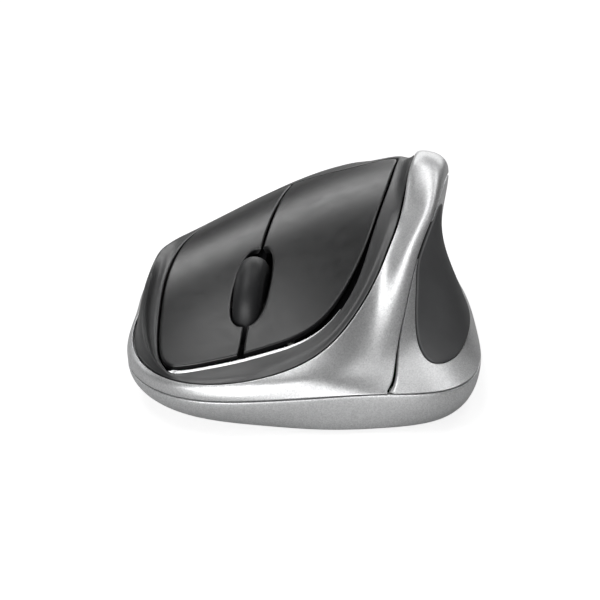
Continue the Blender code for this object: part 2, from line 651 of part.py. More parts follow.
def make_top_frame():
    """The dark cover: palm rest and the ring round the buttons, rolled down to the silver rim."""
    loops = []
    for angle in np.sort(np.concatenate([columns(), RECESS_ENDS])):
        radius = cover_radii(angle, 4, 4)
        top = polar(angle, radius, cover_height(angle, radius))
        under = spread(cover_edge(angle) - 0.8, opening_radius(angle), 4)
        low = cover_height(angle, under) - COVER_THICKNESS
        low[0] = min(low[0], top[-1, 2] - 0.6)
        loops.append(np.concatenate([top, polar(angle, under, low)]))
    cover = ring_solid("top_frame", loops, "matte_charcoal", looped=True)
    for side, (x, y) in CASE_SCREWS.items():
        radius = np.linalg.norm(np.array((x, y)) - HUB)
        top = float(cover_height(polar_angle((x, y)), radius + POST_RADIUS)) - 1.0
        profile = ((0, POST_RADIUS), (top - POST_Z, POST_RADIUS))
        fuse(cover, turned(f"case_post_{side}", profile, (x, y, POST_Z), "z", None))
        cut(cover, turned(f"case_thread_{side}", ((-1, 1.5), (8, 1.5)), (x, y, POST_Z), "z", None, 12))


def make_front_trim():
    """The glossy lining of the recess: a bevelled strip at the front, then a floor under the lips."""
    angles = spread(335, 384, 22)
    top, bottom = [], []
    for angle in angles:
        outer = opening_radius(angle) - GAP
        strip = 0.4 + 0.45 * recess(angle)
        radius = np.array((outer, outer - strip, outer - strip - 0.4, panel_radius(angle) - 1.5))
        place = polar(angle, radius, 0 * radius)
        height = crown(place[:, 0], place[:, 1])
        top.append(polar(angle, radius, height - np.array((0.6, 1.2, 3.3, 3.5))))
        bottom.append(polar(angle, radius, height - np.array((2.4, 4.2, 4.3, 4.5))))
    plate_solid("front_trim", np.array(top), np.array(bottom), "gloss_black")


# ---- buttons ----------------------------------------------------------------

def split_side(side, count):
    """Edge of a button along the split and round the wheel slot, front to rear, in plan."""
    start, end = SLOT_CENTRE_Y - SLOT_HALF_LENGTH, SLOT_CENTRE_Y + SLOT_HALF_LENGTH
    before, inside = count // 6, count // 2
    bend = spread(0, pi, inside)
    slot_y = SLOT_CENTRE_Y - SLOT_HALF_LENGTH * np.cos(bend)
    after = count - before - inside
    y = np.concatenate([spread(-43.2, start, before + 1)[:-1], slot_y, spread(end, 28.4, after + 1)[1:]])
    middle = split_x(y)
    inner = middle + side * 0.25
    slot = WHEEL_CENTRE[0] + side * slot_half_width(y)
    inside = np.abs(y - SLOT_CENTRE_Y) < SLOT_HALF_LENGTH
    x = np.where(inside, side * np.maximum(side * inner, side * slot), inner)
    return np.stack([x, y], 1)


def panel_arc(start, end, count):
    angle = spread(start, end, count)
    return polar(angle, panel_radius(angle), 0)[:, :2]


def coons(left, right, front, rear):
    """Fill four plan edges: left and right run front to rear, front and rear run left to right."""
    u = spread(0, 1, len(front))[None, :, None]
    v = spread(0, 1, len(left))[:, None, None]
    sides = (1 - u) * left[:, None] + u * right[:, None]
    ends = (1 - v) * front[None] + v * rear[None]
    corners = (1 - u) * (1 - v) * front[0] + u * (1 - v) * front[-1]
    corners = corners + (1 - u) * v * rear[0] + u * v * rear[-1]
    return sides + ends - corners


def make_button(name, side):
    """A button plate, hinged at its rear edge, with a stem over its switch."""
    rows, cols = 30, 7
    inner = split_side(side, rows)
    if side < 0:
        front_end, rear_end = polar_angle(inner[0]), polar_angle(inner[-1])
        outer = panel_arc(PANEL_CORNERS["front_left"], PANEL_CORNERS["rear_left"] - 360, rows)
        front = panel_arc(PANEL_CORNERS["front_left"], front_end, cols)
        rear = panel_arc(PANEL_CORNERS["rear_left"] - 360, rear_end, cols)
        left, right = outer, inner
    else:
        front_end, rear_end = polar_angle(inner[0]) - 360, polar_angle(inner[-1])
        outer = panel_arc(PANEL_CORNERS["front_right"] - 360, PANEL_CORNERS["rear_right"] - 360, rows)
        front = panel_arc(front_end, PANEL_CORNERS["front_right"] - 360, cols)
        rear = panel_arc(rear_end, PANEL_CORNERS["rear_right"] - 360, cols)
        left, right = inner, outer
    left[0], right[0], left[-1], right[-1] = front[0], front[-1], rear[0], rear[-1]
    plan = coons(left, right, front, rear)
    height = crown(plan[..., 0], plan[..., 1])
    top = np.dstack([plan, height])
    bottom = np.dstack([plan, height - BUTTON_THICKNESS])
    origin = hinge_point(plan[-1, :, 0].mean())
    button = plate_solid(name, top, bottom, "satin_graphite", origin)
    key = name.split("_")[0]
    x, y = BUTTON_SWITCHES[key]
    stem_bottom = BOARD_TOP + GAP + SWITCH_SIZE[2] + PLUNGER_PROUD + STEM_CLEARANCE
    stem_top = float(crown(x, y)) - 1.0
    middle = (x, y, (stem_bottom + stem_top) / 2)
    fuse(button, box(f"{key}_stem", middle, (STEM_SIZE, STEM_SIZE, stem_top - stem_bottom), None))


def hinge_point(x):
    """Point on a button's hinge, in the underside of its rear edge."""
    return (float(x), HINGE_Y, float(crown(x, HINGE_Y)) - BUTTON_THICKNESS)


# ---- scroll wheel -----------------------------------------------------------

def make_wheel():
    half = WHEEL_WIDTH / 2
    tyre_inner = WHEEL_RADIUS - 2.4
    tyre = turned("wheel_tyre", barrel(half, WHEEL_RADIUS, 1.8), WHEEL_CENTRE, "x", "soft_rubber", 32)
    cut(tyre, turned("tyre_bore", ((-5, tyre_inner), (5, tyre_inner)), WHEEL_CENTRE, "x", None, 32))
    hub_radius = tyre_inner - GAP
    profile = ((-3.2, hub_radius), (3.2, hub_radius))
    hub = turned("wheel_hub", profile, WHEEL_CENTRE, "x", "black_plastic", 32)
    bore = AXLE_RADIUS + GAP
    cut(hub, turned("hub_bore", ((-5, bore), (5, bore)), WHEEL_CENTRE, "x", None, 16))
    profile = ((-AXLE_LENGTH / 2, AXLE_RADIUS), (AXLE_LENGTH / 2, AXLE_RADIUS))
    turned("wheel_axle", profile, np.add(WHEEL_CENTRE, (0.5, 0, 0)), "x", "steel", 16, WHEEL_CENTRE)


def barrel(half, radius, shoulder):
    """Profile of a tyre with rounded shoulders and a slightly domed tread."""
    profile = []
    for step in range(5):
        bend = radians(step * 22.5)
        across = half - shoulder * (1 - cos(bend))
        profile.append((-across, radius - WHEEL_DOME - shoulder + shoulder * sin(bend)))
    profile.append((0, radius))
    mirrored = [(-along, r) for along, r in profile[-2::-1]]
    return profile + mirrored


def make_carrier():
    """The cradle that holds the axle and floats on a spring, and what it works on."""
    x, y, z = WHEEL_CENTRE
    carrier = box("wheel_carrier", (x, y, CARRIER_Z), CARRIER_SIZE, "black_plastic")
    cut(carrier, box("carrier_window", (x, y, CARRIER_Z), (*CARRIER_WINDOW, 4), None))
    for side in (-1, 1):
        place = (x + side * TOWER_OFFSET, y, z + AXLE_RADIUS - TOWER_SIZE[2] / 2)
        fuse(carrier, box(f"carrier_tower_{side}", place, TOWER_SIZE, None))
    bore = AXLE_RADIUS + GAP
    cut(carrier, turned("carrier_bore", ((-9, bore), (9, bore)), WHEEL_CENTRE, "x", None, 16))
    bottom = BOARD_TOP + GAP
    radius, wire, turns = CARRIER_SPRING
    room = CARRIER_Z - CARRIER_SIZE[2] / 2 - GAP - bottom
    coil_spring("carrier_spring", (x, y + SPRING_OFFSET, bottom), radius, room, wire, turns, "steel")
    top = bottom + MIDDLE_SWITCH_SIZE[2]
    switch_place = (x, y + MIDDLE_SWITCH_OFFSET, (bottom + top) / 2)
    switch = box("middle_switch", switch_place, MIDDLE_SWITCH_SIZE, "chip_black")
    place = (x, y + MIDDLE_PLUNGER_OFFSET, top)
    cut(switch, turned("middle_well", ((-1.2, 1.9), (1, 1.9)), place, "z", None, 16))
    turned("middle_plunger", ((-0.6, 1.5), (0.75, 1.5)), place, "z", "white_plastic", 16)


def make_encoder():
    """The rotary encoder beside the wheel, with a slot open at the top for the axle's end."""
    x, y, z = WHEEL_CENTRE
    x += ENCODER_OFFSET
    bottom, top = BOARD_TOP + GAP, z + ENCODER_RISE
    encoder = box("encoder", (x, y, (bottom + top) / 2), (*ENCODER_SIZE, top - bottom), "chip_black")
    slot_bottom = z - AXLE_SLOT / 2 - CLICK_TRAVEL
    slot_height = top + 1 - slot_bottom
    slot = box("encoder_slot", (x, y, slot_bottom + slot_height / 2), (6, AXLE_SLOT, slot_height), None)
    cut(encoder, slot)


def coil_spring(name, bottom, radius, height, wire, turns, finish, axis="z"):
    """A round coil of wire, closed by flat ends."""
    steps, sides = turns * 9, 5
    rings = []
    for i in range(steps + 1):
        bend = 2 * pi * turns * i / steps
        lift = wire + (height - 2 * wire) * i / steps
        centre = Vector((radius * cos(bend), radius * sin(bend), lift))
        outward = Vector((cos(bend), sin(bend), 0))
        ring = []
        for j in range(sides):
            tilt = 2 * pi * j / sides
            ring.append(centre + outward * (wire * cos(tilt)) + Vector((0, 0, wire * sin(tilt))))
        rings.append(ring)
    rings = np.array([[tuple(point) for point in ring] for ring in rings])
    if axis == "x":
        rings = rings[..., (2, 0, 1)]
    rings = rings + np.array(bottom)
    return ring_solid(name, rings, finish, origin=bottom)


# ---- inside -----------------------------------------------------------------

def make_board():
    (x0, y0), (x1, y1) = BOARD
    centre = ((x0 + x1) / 2, (y0 + y1) / 2, BOARD_Z + BOARD_THICKNESS / 2)
    board = box("main_board", centre, (x1 - x0, y1 - y0, BOARD_THICKNESS), "board_green", 0, 2)
    x, y, _ = WHEEL_CENTRE
    cut(board, box("wheel_window", (x, y, BOARD_Z), (9.4, 18.0, 6), None))
    for side, (px, py) in BOARD_SCREWS.items():
        cut(board, turned(f"board_hole_{side}", ((-3, 1.4), (3, 1.4)), (px, py, BOARD_Z), "z", None, 12))


def make_electronics():
    top = BOARD_TOP + GAP
    sensor_chip = (SENSOR, SENSOR_CHIP_SIZE)
    chips = {"controller_chip": CONTROLLER_CHIP, "radio_chip": RADIO_CHIP, "sensor_chip": sensor_chip}
    for name, (place, size) in chips.items():
        box(name, (*place, top + size[2] / 2), size, "chip_black")
    can = ((0, CAPACITOR_RADIUS), (CAPACITOR_HEIGHT, CAPACITOR_RADIUS))
    turned("capacitor", can, (*CAPACITOR_PLACE, top), "z", "nickel", 20)
    box("sensor_lens", (*SENSOR, LENS_Z), LENS_SIZE, "clear_plastic")
    turned("sensor_led", LED_PROFILE, (*LED_PLACE, top + 2.1), "x", "led_red", 16)
    height = SWITCH_SIZE[2]
    plunger_width, plunger_length, plunger_height = PLUNGER_SIZE
    for key, (x, y) in BUTTON_SWITCHES.items():
        place = (x, y - SWITCH_OFFSET, top + height / 2)
        switch = box(f"{key}_switch", place, SWITCH_SIZE, "chip_black")
        room = 2 * WELL_CLEARANCE
        well = (plunger_width + room, plunger_length + room, 2 * PLUNGER_WELL)
        cut(switch, box(f"{key}_well", (x, y, top + height), well, None))
        box(f"{key}_plunger", (x, y, top + height + PLUNGER_PROUD - plunger_height / 2), PLUNGER_SIZE,
            "white_plastic")


def make_battery_bay():
    """The tray, its cells, springs and contacts, and the door under them."""
    (x0, y0), (x1, y1) = BAY
    middle_x, middle_y = (x0 + x1) / 2, (y0 + y1) / 2
    bottom = FLOOR_Z + GAP
    height = BAY_TOP - bottom
    tray = box("battery_tray", (middle_x, middle_y, bottom + height / 2), (x1 - x0, y1 - y0, height),
               "black_plastic")
    inside = (x1 - x0 - 2 * BAY_WALL, y1 - y0 - 2 * BAY_WALL, height)
    cut(tray, box("tray_inside", (middle_x, middle_y, bottom + height / 2 - BAY_WALL), inside, None))
    margin = GAP + CONTACT_THICKNESS + GAP
    for place, y in CELL_Y.items():
        facing = 1 if place == "front" else -1
        plus_wall = middle_x + facing * ((x1 - x0) / 2 - BAY_WALL)
        minus_wall = middle_x - facing * ((x1 - x0) / 2 - BAY_WALL)
        cell_x = plus_wall - facing * (margin + CELL_NUB + CELL_LENGTH / 2)
        turned(f"battery_{place}", cell_profile(facing), (cell_x, y, CELL_Z), "x", "cell_wrap", 28)
        spring_ends = (minus_wall + facing * margin, cell_x - facing * (CELL_LENGTH / 2 + GAP))
        room = abs(spring_ends[1] - spring_ends[0])
        end = (min(spring_ends), y, CELL_Z)
        coil_spring(f"battery_spring_{place}", end, 2.4, room, 0.3, 3, "nickel", "x")
        for pole, wall, inward in (("plus", plus_wall, -facing), ("minus", minus_wall, facing)):
            x = wall + inward * (GAP + CONTACT_THICKNESS / 2)
            box(f"contact_{pole}_{place}", (x, y, CELL_Z), (CONTACT_THICKNESS, 8, 8), "nickel")
    make_battery_door()


def cell_profile(facing):
    """A dry cell: a straight can with a small raised contact at its plus end."""
    half = CELL_LENGTH / 2
    profile = [(-half, CELL_RADIUS - 0.4), (-half + 0.4, CELL_RADIUS), (half - 0.4, CELL_RADIUS),
               (half, CELL_RADIUS - 0.4), (half, 1.9), (half + CELL_NUB, 1.9)]
    if facing < 0:
        profile = [(-along, radius) for along, radius in profile[::-1]]
    return profile


def make_battery_door():
    (x0, y0), (x1, y1) = DOOR
    centre = ((x0 + x1) / 2, (y0 + y1) / 2, FOOT_Z + DOOR_THICKNESS / 2)
    door = box("battery_door", centre, (x1 - x0, y1 - y0, DOOR_THICKNESS), "black_plastic",
               origin=(centre[0], y0, FOOT_Z))
    for step in range(3):
        groove = (centre[0], y1 - 3.0 - 1.8 * step, FOOT_Z)
        cut(door, box(f"door_groove_{step}", groove, (12, 0.8, 0.8), None))


def make_controls():
    """The power slider and the connect button on the underside, with their switches."""
    x, y = POWER_PLACE
    slider = box("power_slider", (x - 1.5, y, 1.9), (4.6, 3.0, 1.8), "black_plastic")
    cut(slider, box("slider_groove", (x - 1.5, y, 1.0), (0.8, 4, 0.8), None))
    box("power_switch", (x, y, 4.35), (9, 4, 2.4), "steel")
    x, y = CONNECT_PLACE
    turned("connect_button", ((0, 1.8), (2.6, 1.8)), (x, y, 1.0), "z", "black_plastic", 20)
    box("connect_switch", (x, y, 4.95), (4.6, 4.6, 1.2), "steel")


def make_glides():
    for corner, (x, y, turn) in GLIDES.items():
        length, width, height = GLIDE_SIZE
        box(f"glide_{corner}", (x, y, height / 2), (length, width, height), "slick_white", turn, 2.2)


def make_screws():
    for side, (x, y) in CASE_SCREWS.items():
        screw = turned(f"case_screw_{side}", ((0, 2.3), (0.9, 2.3), (0.9, 1.2), (14.0, 1.2), (14.8, 0.6)),
                       (x, y, FOOT_Z + 0.15), "z", "steel", 16)
        cut(screw, box(f"case_recess_{side}", (x, y, FOOT_Z), (2.6, 0.6, 1.0), None))
    for side, (x, y) in BOARD_SCREWS.items():
        screw = turned(f"board_screw_{side}", ((1.0, 2.2), (0, 2.2), (0, 1.0), (-3.6, 1.0)),
                       (x, y, BOARD_TOP + GAP), "z", "steel", 16)
        cut(screw, box(f"board_recess_{side}", (x, y, BOARD_TOP + GAP + 1.0), (2.6, 0.6, 1.0), None))


def main():
    clear_scene()
    make_base_shell()
    make_upper_housing()
    make_thumb_panel()
    make_thumb_grip()
    make_top_frame()
    make_front_trim()
    make_button("left_button", -1)
    make_button("right_button", 1)
    make_wheel()
    make_carrier()
    make_encoder()
    make_board()
    make_electronics()
    make_battery_bay()
    make_controls()
    make_glides()
    make_screws()


main()
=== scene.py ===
"""The looks of a right-handed ergonomic mouse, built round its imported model.

Lengths in this script are millimetres and become metres when a mesh is made.
+Z is up, the buttons face -Y, the thumb side is +X, and the origin is under the middle.
"""
import json
from math import cos, pi, radians, sin

import bmesh
import bpy
import numpy as np
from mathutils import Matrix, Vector


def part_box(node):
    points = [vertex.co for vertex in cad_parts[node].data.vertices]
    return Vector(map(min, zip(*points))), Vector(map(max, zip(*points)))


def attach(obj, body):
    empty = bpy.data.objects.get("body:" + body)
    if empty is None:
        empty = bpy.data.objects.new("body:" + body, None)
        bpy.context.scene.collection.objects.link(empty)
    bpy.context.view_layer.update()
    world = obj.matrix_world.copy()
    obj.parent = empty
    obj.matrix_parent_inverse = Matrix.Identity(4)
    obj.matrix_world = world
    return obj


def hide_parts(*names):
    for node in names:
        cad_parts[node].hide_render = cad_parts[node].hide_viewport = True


MM = 0.001
GAP = 0.3

# The shells are drawn in polar form about a vertical line through the hub:
# an angle of 0 is the front, 90 the thumb side, 180 the rear, 270 the little-finger side.
HUB = np.array((-4.8, -4.82))

# Heights of the crown, the smooth surface that the buttons and the palm cover follow.
CROWN_X = (-41.5, -18.5, 3.5, 25.5, 45.5)
CROWN_Y = (-50, -22, 5, 32, 60)
CROWN_Z = (
    (10.5, 13.5, 16, 20, 24),
    (18, 23, 27, 34, 40.5),
    (20.5, 29, 36.5, 43.8, 49),
    (13.5, 26.8, 36.7, 43, 50),
    (7, 18, 26, 31, 36),
)

# Sections of the silver side skin, as (radius, height) at each angle:
# rim, valley or crest, corner, waist, flare, parting line.
SECTIONS = {
    0: ((47.4, 14.2), (48.1, 13.4), (48.6, 12.5), (48.9, 11.5), (49.1, 10.5), (49.2, 9.4)),
    18: ((41.5, 18.2), (43.8, 16.3), (45.8, 14.4), (47, 12.8), (47.7, 11.3), (48.2, 9.8)),
    33: ((35.6, 24), (38.8, 20), (42.2, 16.8), (46, 14.2), (49.4, 12), (51.6, 10.2)),
    46: ((31.5, 28.7), (34.3, 27), (38.9, 24.2), (44, 18), (51, 13.6), (57.2, 10.4)),
    60: ((28.5, 33.2), (30.9, 33.5), (35.5, 33.4), (40.5, 24.5), (47, 16.5), (54.4, 10.2)),
    78: ((26.9, 37.4), (29.6, 39), (34.6, 40.8), (37.6, 32.5), (42.2, 21.8), (47.4, 10)),
    100: ((27.6, 42.6), (29.4, 46.8), (36.4, 46), (35.2, 33), (38, 21), (44.2, 10)),
    125: ((34, 45.9), (36.2, 46.7), (42.6, 41.6), (42, 29), (43.6, 18.5), (47.4, 10)),
    152: ((46, 33.5), (49.5, 31.6), (52.3, 28), (53.8, 22.5), (55.2, 16), (56, 9.8)),
    180: ((56.5, 17.5), (58, 16.3), (59, 14.8), (59.7, 13.2), (60, 11.4), (60, 9.5)),
    207: ((49.8, 16), (51.2, 15), (52.1, 13.8), (52.7, 12.5), (53, 11), (53, 9.3)),
    233: ((40.5, 15.5), (41.9, 14.6), (42.8, 13.5), (43.3, 12.2), (43.6, 10.8), (43.5, 9.2)),
    260: ((36.2, 15.3), (37.2, 14.4), (37.9, 13.3), (38.3, 12.1), (38.4, 10.7), (38.3, 9.2)),
    290: ((36.8, 14.8), (37.7, 13.9), (38.2, 12.9), (38.5, 11.8), (38.5, 10.5), (38.2, 9.1)),
    316: ((45.9, 13.2), (46.5, 12.6), (46.9, 11.9), (47.2, 11), (47.3, 10.1), (47.2, 9)),
    340: ((51.6, 12.6), (52, 12.1), (52.3, 11.5), (52.4, 10.8), (52.4, 10), (52.2, 9)),
}
FOOT_RADIUS = {
    0: 42.5, 18: 46, 33: 49, 46: 51, 60: 48, 78: 42, 100: 38, 125: 41,
    152: 48, 180: 52, 207: 45, 233: 36, 260: 30, 290: 29, 316: 33, 340: 39,
}
FOOT_Z = 0.8  # height of the flat underside
SHELL_WALL = 2.0
SKIN_WALL = 1.5
ROLL_WIDTH = {0: 4, 60: 4, 120: 6, 160: 14, 200: 14, 240: 10, 270: 6.5, 310: 6, 340: 4}
RIDGE_HEIGHT = {0: 0, 90: 0, 180: 0, 215: 0.4, 245: 2.2, 270: 4.0, 295: 5.2, 318: 3.0, 340: 0}

# Outer edge of the two buttons together, counterclockwise seen from above, from the front left.
PANEL = (
    (-30.2, -40.5), (-28.8, -44.4), (-27, -46.3), (-23.3, -46.7), (-17.7, -45.5),
    (-12.1, -43.9), (-3.8, -40.8), (2, -38.2), (6.2, -34.8), (9.3, -30.2), (12, -24),
    (13.8, -18), (15.2, -10.5), (16.3, -2.5), (17.3, 6), (17.9, 18), (17.5, 21.6),
    (15.3, 23.2), (12, 23.3), (6, 23.6), (-0.5, 25.4), (-8, 28.4), (-16, 30.6),
    (-23, 30.5), (-27.4, 27.5), (-30.2, 19), (-32.1, 8), (-33.2, -5), (-33.1, -18),
    (-32.2, -28),
)
PANEL_CORNERS = {-1: (330, 212), 1: (20, 141.5)}  # front and rear corner of each button, as angles
SEAM_GAP = 0.5  # black line round the buttons
RECESS_DEPTH = 2.6  # open recess in front of the button lips
RECESS_LEFT, RECESS_LEFT_FADE = -27, 1.2  # where it closes, in degrees from the front, and how softly
RECESS_RIGHT, RECESS_RIGHT_FADE = 46, 8
BUTTON_THICKNESS = 1.5
COVER_THICKNESS = 1.8
COVER_EDGE_DEPTH, COVER_LIP_DEPTH = 0.8, 3.6  # height of its wall at the rim and round the buttons
COVER_FOOT = 0.8  # how far that wall runs inwards below the rim
SPLIT_X, SPLIT_Y, SPLIT_BEND = -11.4, -18.0, 0.00095
SPLIT_FRONT_Y, SPLIT_REAR_Y = -43.2, 28.4
SPLIT_HALF_GAP, SPLIT_FRONT_GAIN, SPLIT_LIP_GAIN = 0.25, 0.22, 0.15
SPLIT_LIP_Y, SPLIT_LIP_REACH = -40, 3
SLOT_CENTRE_Y, SLOT_HALF_LENGTH, SLOT_HALF_WIDTH, SLOT_POWER = -21.5, 13.2, 4.2, 2.6
WHEEL_X = -11.7
BUTTON_LENGTH, BUTTON_WIDTH = 75, 22  # rough size, to place the rows that form the lips

# Thumb side: the slit's place down the skin, and the rubber grip's outline.
SLIT_START, SLIT_END = 32.8, 170.0
SLIT_LEVEL = 0.44
SLIT_FRONT_FADE, SLIT_REAR_FADE = 6, 10  # how softly it turns down to the parting line at its ends
SLIT_WIDTH, SLIT_FLARE = 0.34, 1.2  # width of the gap on top, and what it gains at the front
PANEL_START, PANEL_END = SLIT_START + 0.5, SLIT_END - 1.0
PANEL_WALL, PANEL_BEVEL, PANEL_FLARE, PANEL_FLARE_FADE = 2.6, 0.12, 1.0, 7
PARTING_BEVEL, POCKET_ROUND, POCKET_REACH = 0.35, 0.25, 1.6
GRIP = (
    (117, 0.62), (108, 0.58), (97, 0.525), (84, 0.462), (70, 0.46), (60.5, 0.477), (54.5, 0.515),
    (49.5, 0.60), (47.2, 0.70), (48.2, 0.79), (53.5, 0.85), (62, 0.88), (76, 0.90),
    (94, 0.885), (110, 0.84), (120, 0.77), (121, 0.68),
)
GRIP_PROUD, GRIP_DEPTH = 0.3, 1.1
GRIP_TOP_END = 5.9  # the grip's points up to this one are on its upper side
# Between the middle two angles the grip reaches the slit, and beyond the outer two it keeps its outline.
TIP_START, TIP_FRONT, TIP_REAR, TIP_END = 55, 62.0, 76.0, 92.0
# Places along the grip's outline that face the front of its tip, the panel's front and rear corners,
# and the rear of its tip.
PANEL_PLACES = (4.83, 8.4, 14.8, 18.63)
PANEL_STEPS = (70, 150, 90)  # points between them

# Edge radii of the mouldings.
RIM_ROUND, PARTING_ROUND = 0.35, 0.22
BUTTON_ROUND, COVER_ROUND, GRIP_ROUND = 0.4, 0.45, 0.5
BUTTON_TUCK = 0.7  # how far the foot of a button's skirt lies inside its lip

# Black parts under the seams, painted shade where the gaps show only shade; the gutter is also the gloss
# black trim in the recess. Heights count down from the surface above.
TRIM_SHADE_DROP, TRIM_SHADE_OUTSIDE, TRIM_SHADE_INSIDE = 2.9, 1.2, 1.5
TRIM_SHADE_CORNERS = (0, 1.0, 1.5, 0.5)  # how far each corner of its section lies below that
# black sheet under the rim seam: painted shade in the gap
RIM_SHADE_RADII, RIM_SHADE_DEPTHS = (0.4, -1.4, -1.4, 0.4), (2.4, 2.4, 3.2, 3.2)
# black sheet under the split between the buttons: painted shade in the gap
SPLIT_SHADE_HALF_WIDTH, SPLIT_SHADE_TOP, SPLIT_SHADE_BOTTOM, SPLIT_SHADE_REAR_Y = 1.1, 2.5, 3.3, 26.0

# The strip in the recess, bright metal as a painted highlight where the glossy trim catches light: it begins
# sharply at the left and fades out to the right.
STRIP_ANGLES = (333.5, 389)
STRIP_LEFT, STRIP_LEFT_FADE, STRIP_RIGHT, STRIP_RIGHT_FADE = -26.4, 1.0, 29.0, 34
STRIP_WIDTH, STRIP_LEAST, STRIP_DROP, STRIP_DEPTH, STRIP_GAP = 1.1, 0.12, 0.2, 1.2, 0.16
STRIP_ACROSS = (0.0, 0.12, 0.35, 0.65, 0.88, 1.0)  # its section, as shares of the width
STRIP_FALL = (0.45, 0.25, 0.18, 0.08, 0.12, 0.4)  # and how far each point lies below its top

TYRE_DOME, TYRE_DEPTH, TYRE_CHAMFER = 3.6, 4.2, 0.1

# Underside. Openings are (length, width) or (length, width, corner radius).
GLIDE_TURNS = {"front_left": -27.0, "front_right": 42.0, "rear_left": 22.0, "rear_right": -25.0}
GLIDE_LENGTH, GLIDE_WIDTH, GLIDE_HEIGHT, GLIDE_ROUND, GLIDE_POCKET = 15.0, 5.0, 1.0, 0.35, 0.7
OPENING_DEPTH = 4.0  # more than the shell is thick
SENSOR_OPENING, POWER_OPENING, CONNECT_RADIUS = (9, 7, 1.5), (9, 3.6), 2.2
SCREW_POCKET_RADIUS, SCREW_POCKET_DEPTH = 2.75, 1.35
DOOR_OPENING_CORNER, DOOR_CORNER, DOOR_ROUND = 0.8, 0.7, 0.3
GROOVES, GROOVE_MARGIN, GROOVE_PITCH = 4, 3.0, 1.8
GROOVE_LENGTH, GROOVE_TAPER, GROOVE_WIDTH, GROOVE_DEPTH = 13.0, 1.5, 0.9, 0.5
SCREW_HEAD, SCREW_RADIUS = 0.9, 1.2  # height of the head, and radius of the shank
CROSS, CROSS_DEPTH, CROSS_TURN = (2.6, 0.6, 0.1), 0.8, 20

# The floor's half width in metres, its colour, and the light that it gives: to the object, and as seen.
FLOOR_REACH, FLOOR_GREY = 4.0, 0.42
FLOOR_GLOW, FLOOR_WHITE = 0.03, 0.80

# Soft boxes as (place, target, size, brightness in a mirror), and the even light all round.
SOFT_BOXES = {
    "overhead_front": ((-270, -205, 1000), (-270, -205, 0), (440, 500), 4.0),
    "overhead_rear": ((-220, 430, 1000), (-220, 430, 0), (340, 280), 4.6),
    "overhead_right": ((430, 430, 1000), (430, 430, 0), (440, 560), 2.2),
    "front_box": ((-150, -1300, 290), (0, 0, 20), (1350, 560), 5.2),
    "back_left": ((-549, 1177, 750), (0, 0, 20), (480, 380), 3.2),
    "back_low": ((160, 1400, 430), (0, 0, 30), (1000, 560), 1.8),
    "left_fill": ((-1050, 480, 400), (0, 0, 20), (480, 460), 1.2),
}
STUDIO_LIGHT = 0.07

# The camera: a long lens, a little to the thumb side, well above the desk.
CAMERA_TARGET = (-1.43, -13.67, 17.73)
CAMERA_TURN, CAMERA_RISE, CAMERA_DISTANCE, LENS = 8.0, 22.0, 520.0, 131.0


# ---- curves and surfaces ----

def closed_spline(knots, values, period=360.0):
    """Return a smooth closed function through values at knots."""
    knots = np.array(knots, float)
    values = np.array(values, float)
    count = len(knots)
    steps = np.diff(np.append(knots, knots[0] + period))
    flat = values.reshape(count, -1)
    matrix = np.zeros((count, count))
    right = np.zeros_like(flat)
    for i in range(count):
        before, after = steps[i - 1], steps[i]
        nxt = (i + 1) % count
        matrix[i, i - 1] += before
        matrix[i, i] += 2 * (before + after)
        matrix[i, nxt] += after
        right[i] = 6 * ((flat[nxt] - flat[i]) / after - (flat[i] - flat[i - 1]) / before)
    bend = np.linalg.solve(matrix, right)

    def at(place):
        place = (np.asarray(place, float) - knots[0]) % period + knots[0]
        i = np.clip(np.searchsorted(knots, place, side="right") - 1, 0, count - 1)
        j = (i + 1) % count
        step = steps[i][..., None]
        b = (place - knots[i])[..., None] / step
        a = 1 - b
        curve = a * flat[i] + b * flat[j]
        curve = curve + ((a**3 - a) * bend[i] + (b**3 - b) * bend[j]) * step**2 / 6
        return curve.reshape(place.shape + values.shape[1:])

    return at


def lagrange(knots, place):
    """Weights of a polynomial through the knots."""
    weights = []
    for i, own in enumerate(knots):
        weight = np.ones_like(place)
        for j, other in enumerate(knots):
            if j != i:
                weight = weight * (place - other) / (own - other)
        weights.append(weight)
    return np.array(weights)


def crown(x, y):
    """Height of the crown at a place in the plan."""
    x = np.clip(np.asarray(x, float), -44, 46)
    y = np.clip(np.asarray(y, float), -56, 60)
    return np.einsum("i...,ij,j...->...", lagrange(CROWN_Y, y), np.array(CROWN_Z), lagrange(CROWN_X, x))


tables = (SECTIONS, FOOT_RADIUS, ROLL_WIDTH, RIDGE_HEIGHT)
section_at, foot_radius_at, roll_width_at, ridge_height_at = (
    closed_spline(list(table), list(table.values())) for table in tables)


def polar(angle, radius, height):
    """Points at polar places about the hub."""
    turn = np.radians(angle)
    x = HUB[0] + radius * np.sin(turn)
    y = HUB[1] - radius * np.cos(turn)
    return np.stack(np.broadcast_arrays(x, y, height), -1)


def polar_angle(point):
    """Angle about the hub, in degrees."""
    return np.degrees(np.arctan2(point[0] - HUB[0], HUB[1] - point[1])) % 360


def skin(angle, level):
    """Points of the side skin: level 0 is the rim and level 1 the parting line."""
    angle, level = np.broadcast_arrays(np.asarray(angle, float), np.asarray(level, float))
    rows = section_at(angle)
    count = rows.shape[-2]
    matrix = np.eye(count)
    for i in range(1, count - 1):
        matrix[i, i - 1:i + 2] = (1, 4, 1)
    right = np.zeros_like(rows)
    right[..., 1:-1, :] = 6 * (rows[..., 2:, :] - 2 * rows[..., 1:-1, :] + rows[..., :-2, :])
    bend = np.einsum("ij,...jk->...ik", np.linalg.inv(matrix), right)
    place = level * (count - 1)
    i = np.clip(np.floor(place).astype(int), 0, count - 2)
    b = (place - i)[..., None]
    a = 1 - b

    def row(table, index):
        return np.take_along_axis(table, index[..., None, None], axis=-2)[..., 0, :]

    point = a * row(rows, i) + b * row(rows, i + 1)
    point = point + ((a**3 - a) * row(bend, i) + (b**3 - b) * row(bend, i + 1)) / 6
    return polar(angle, point[..., 0], point[..., 1])


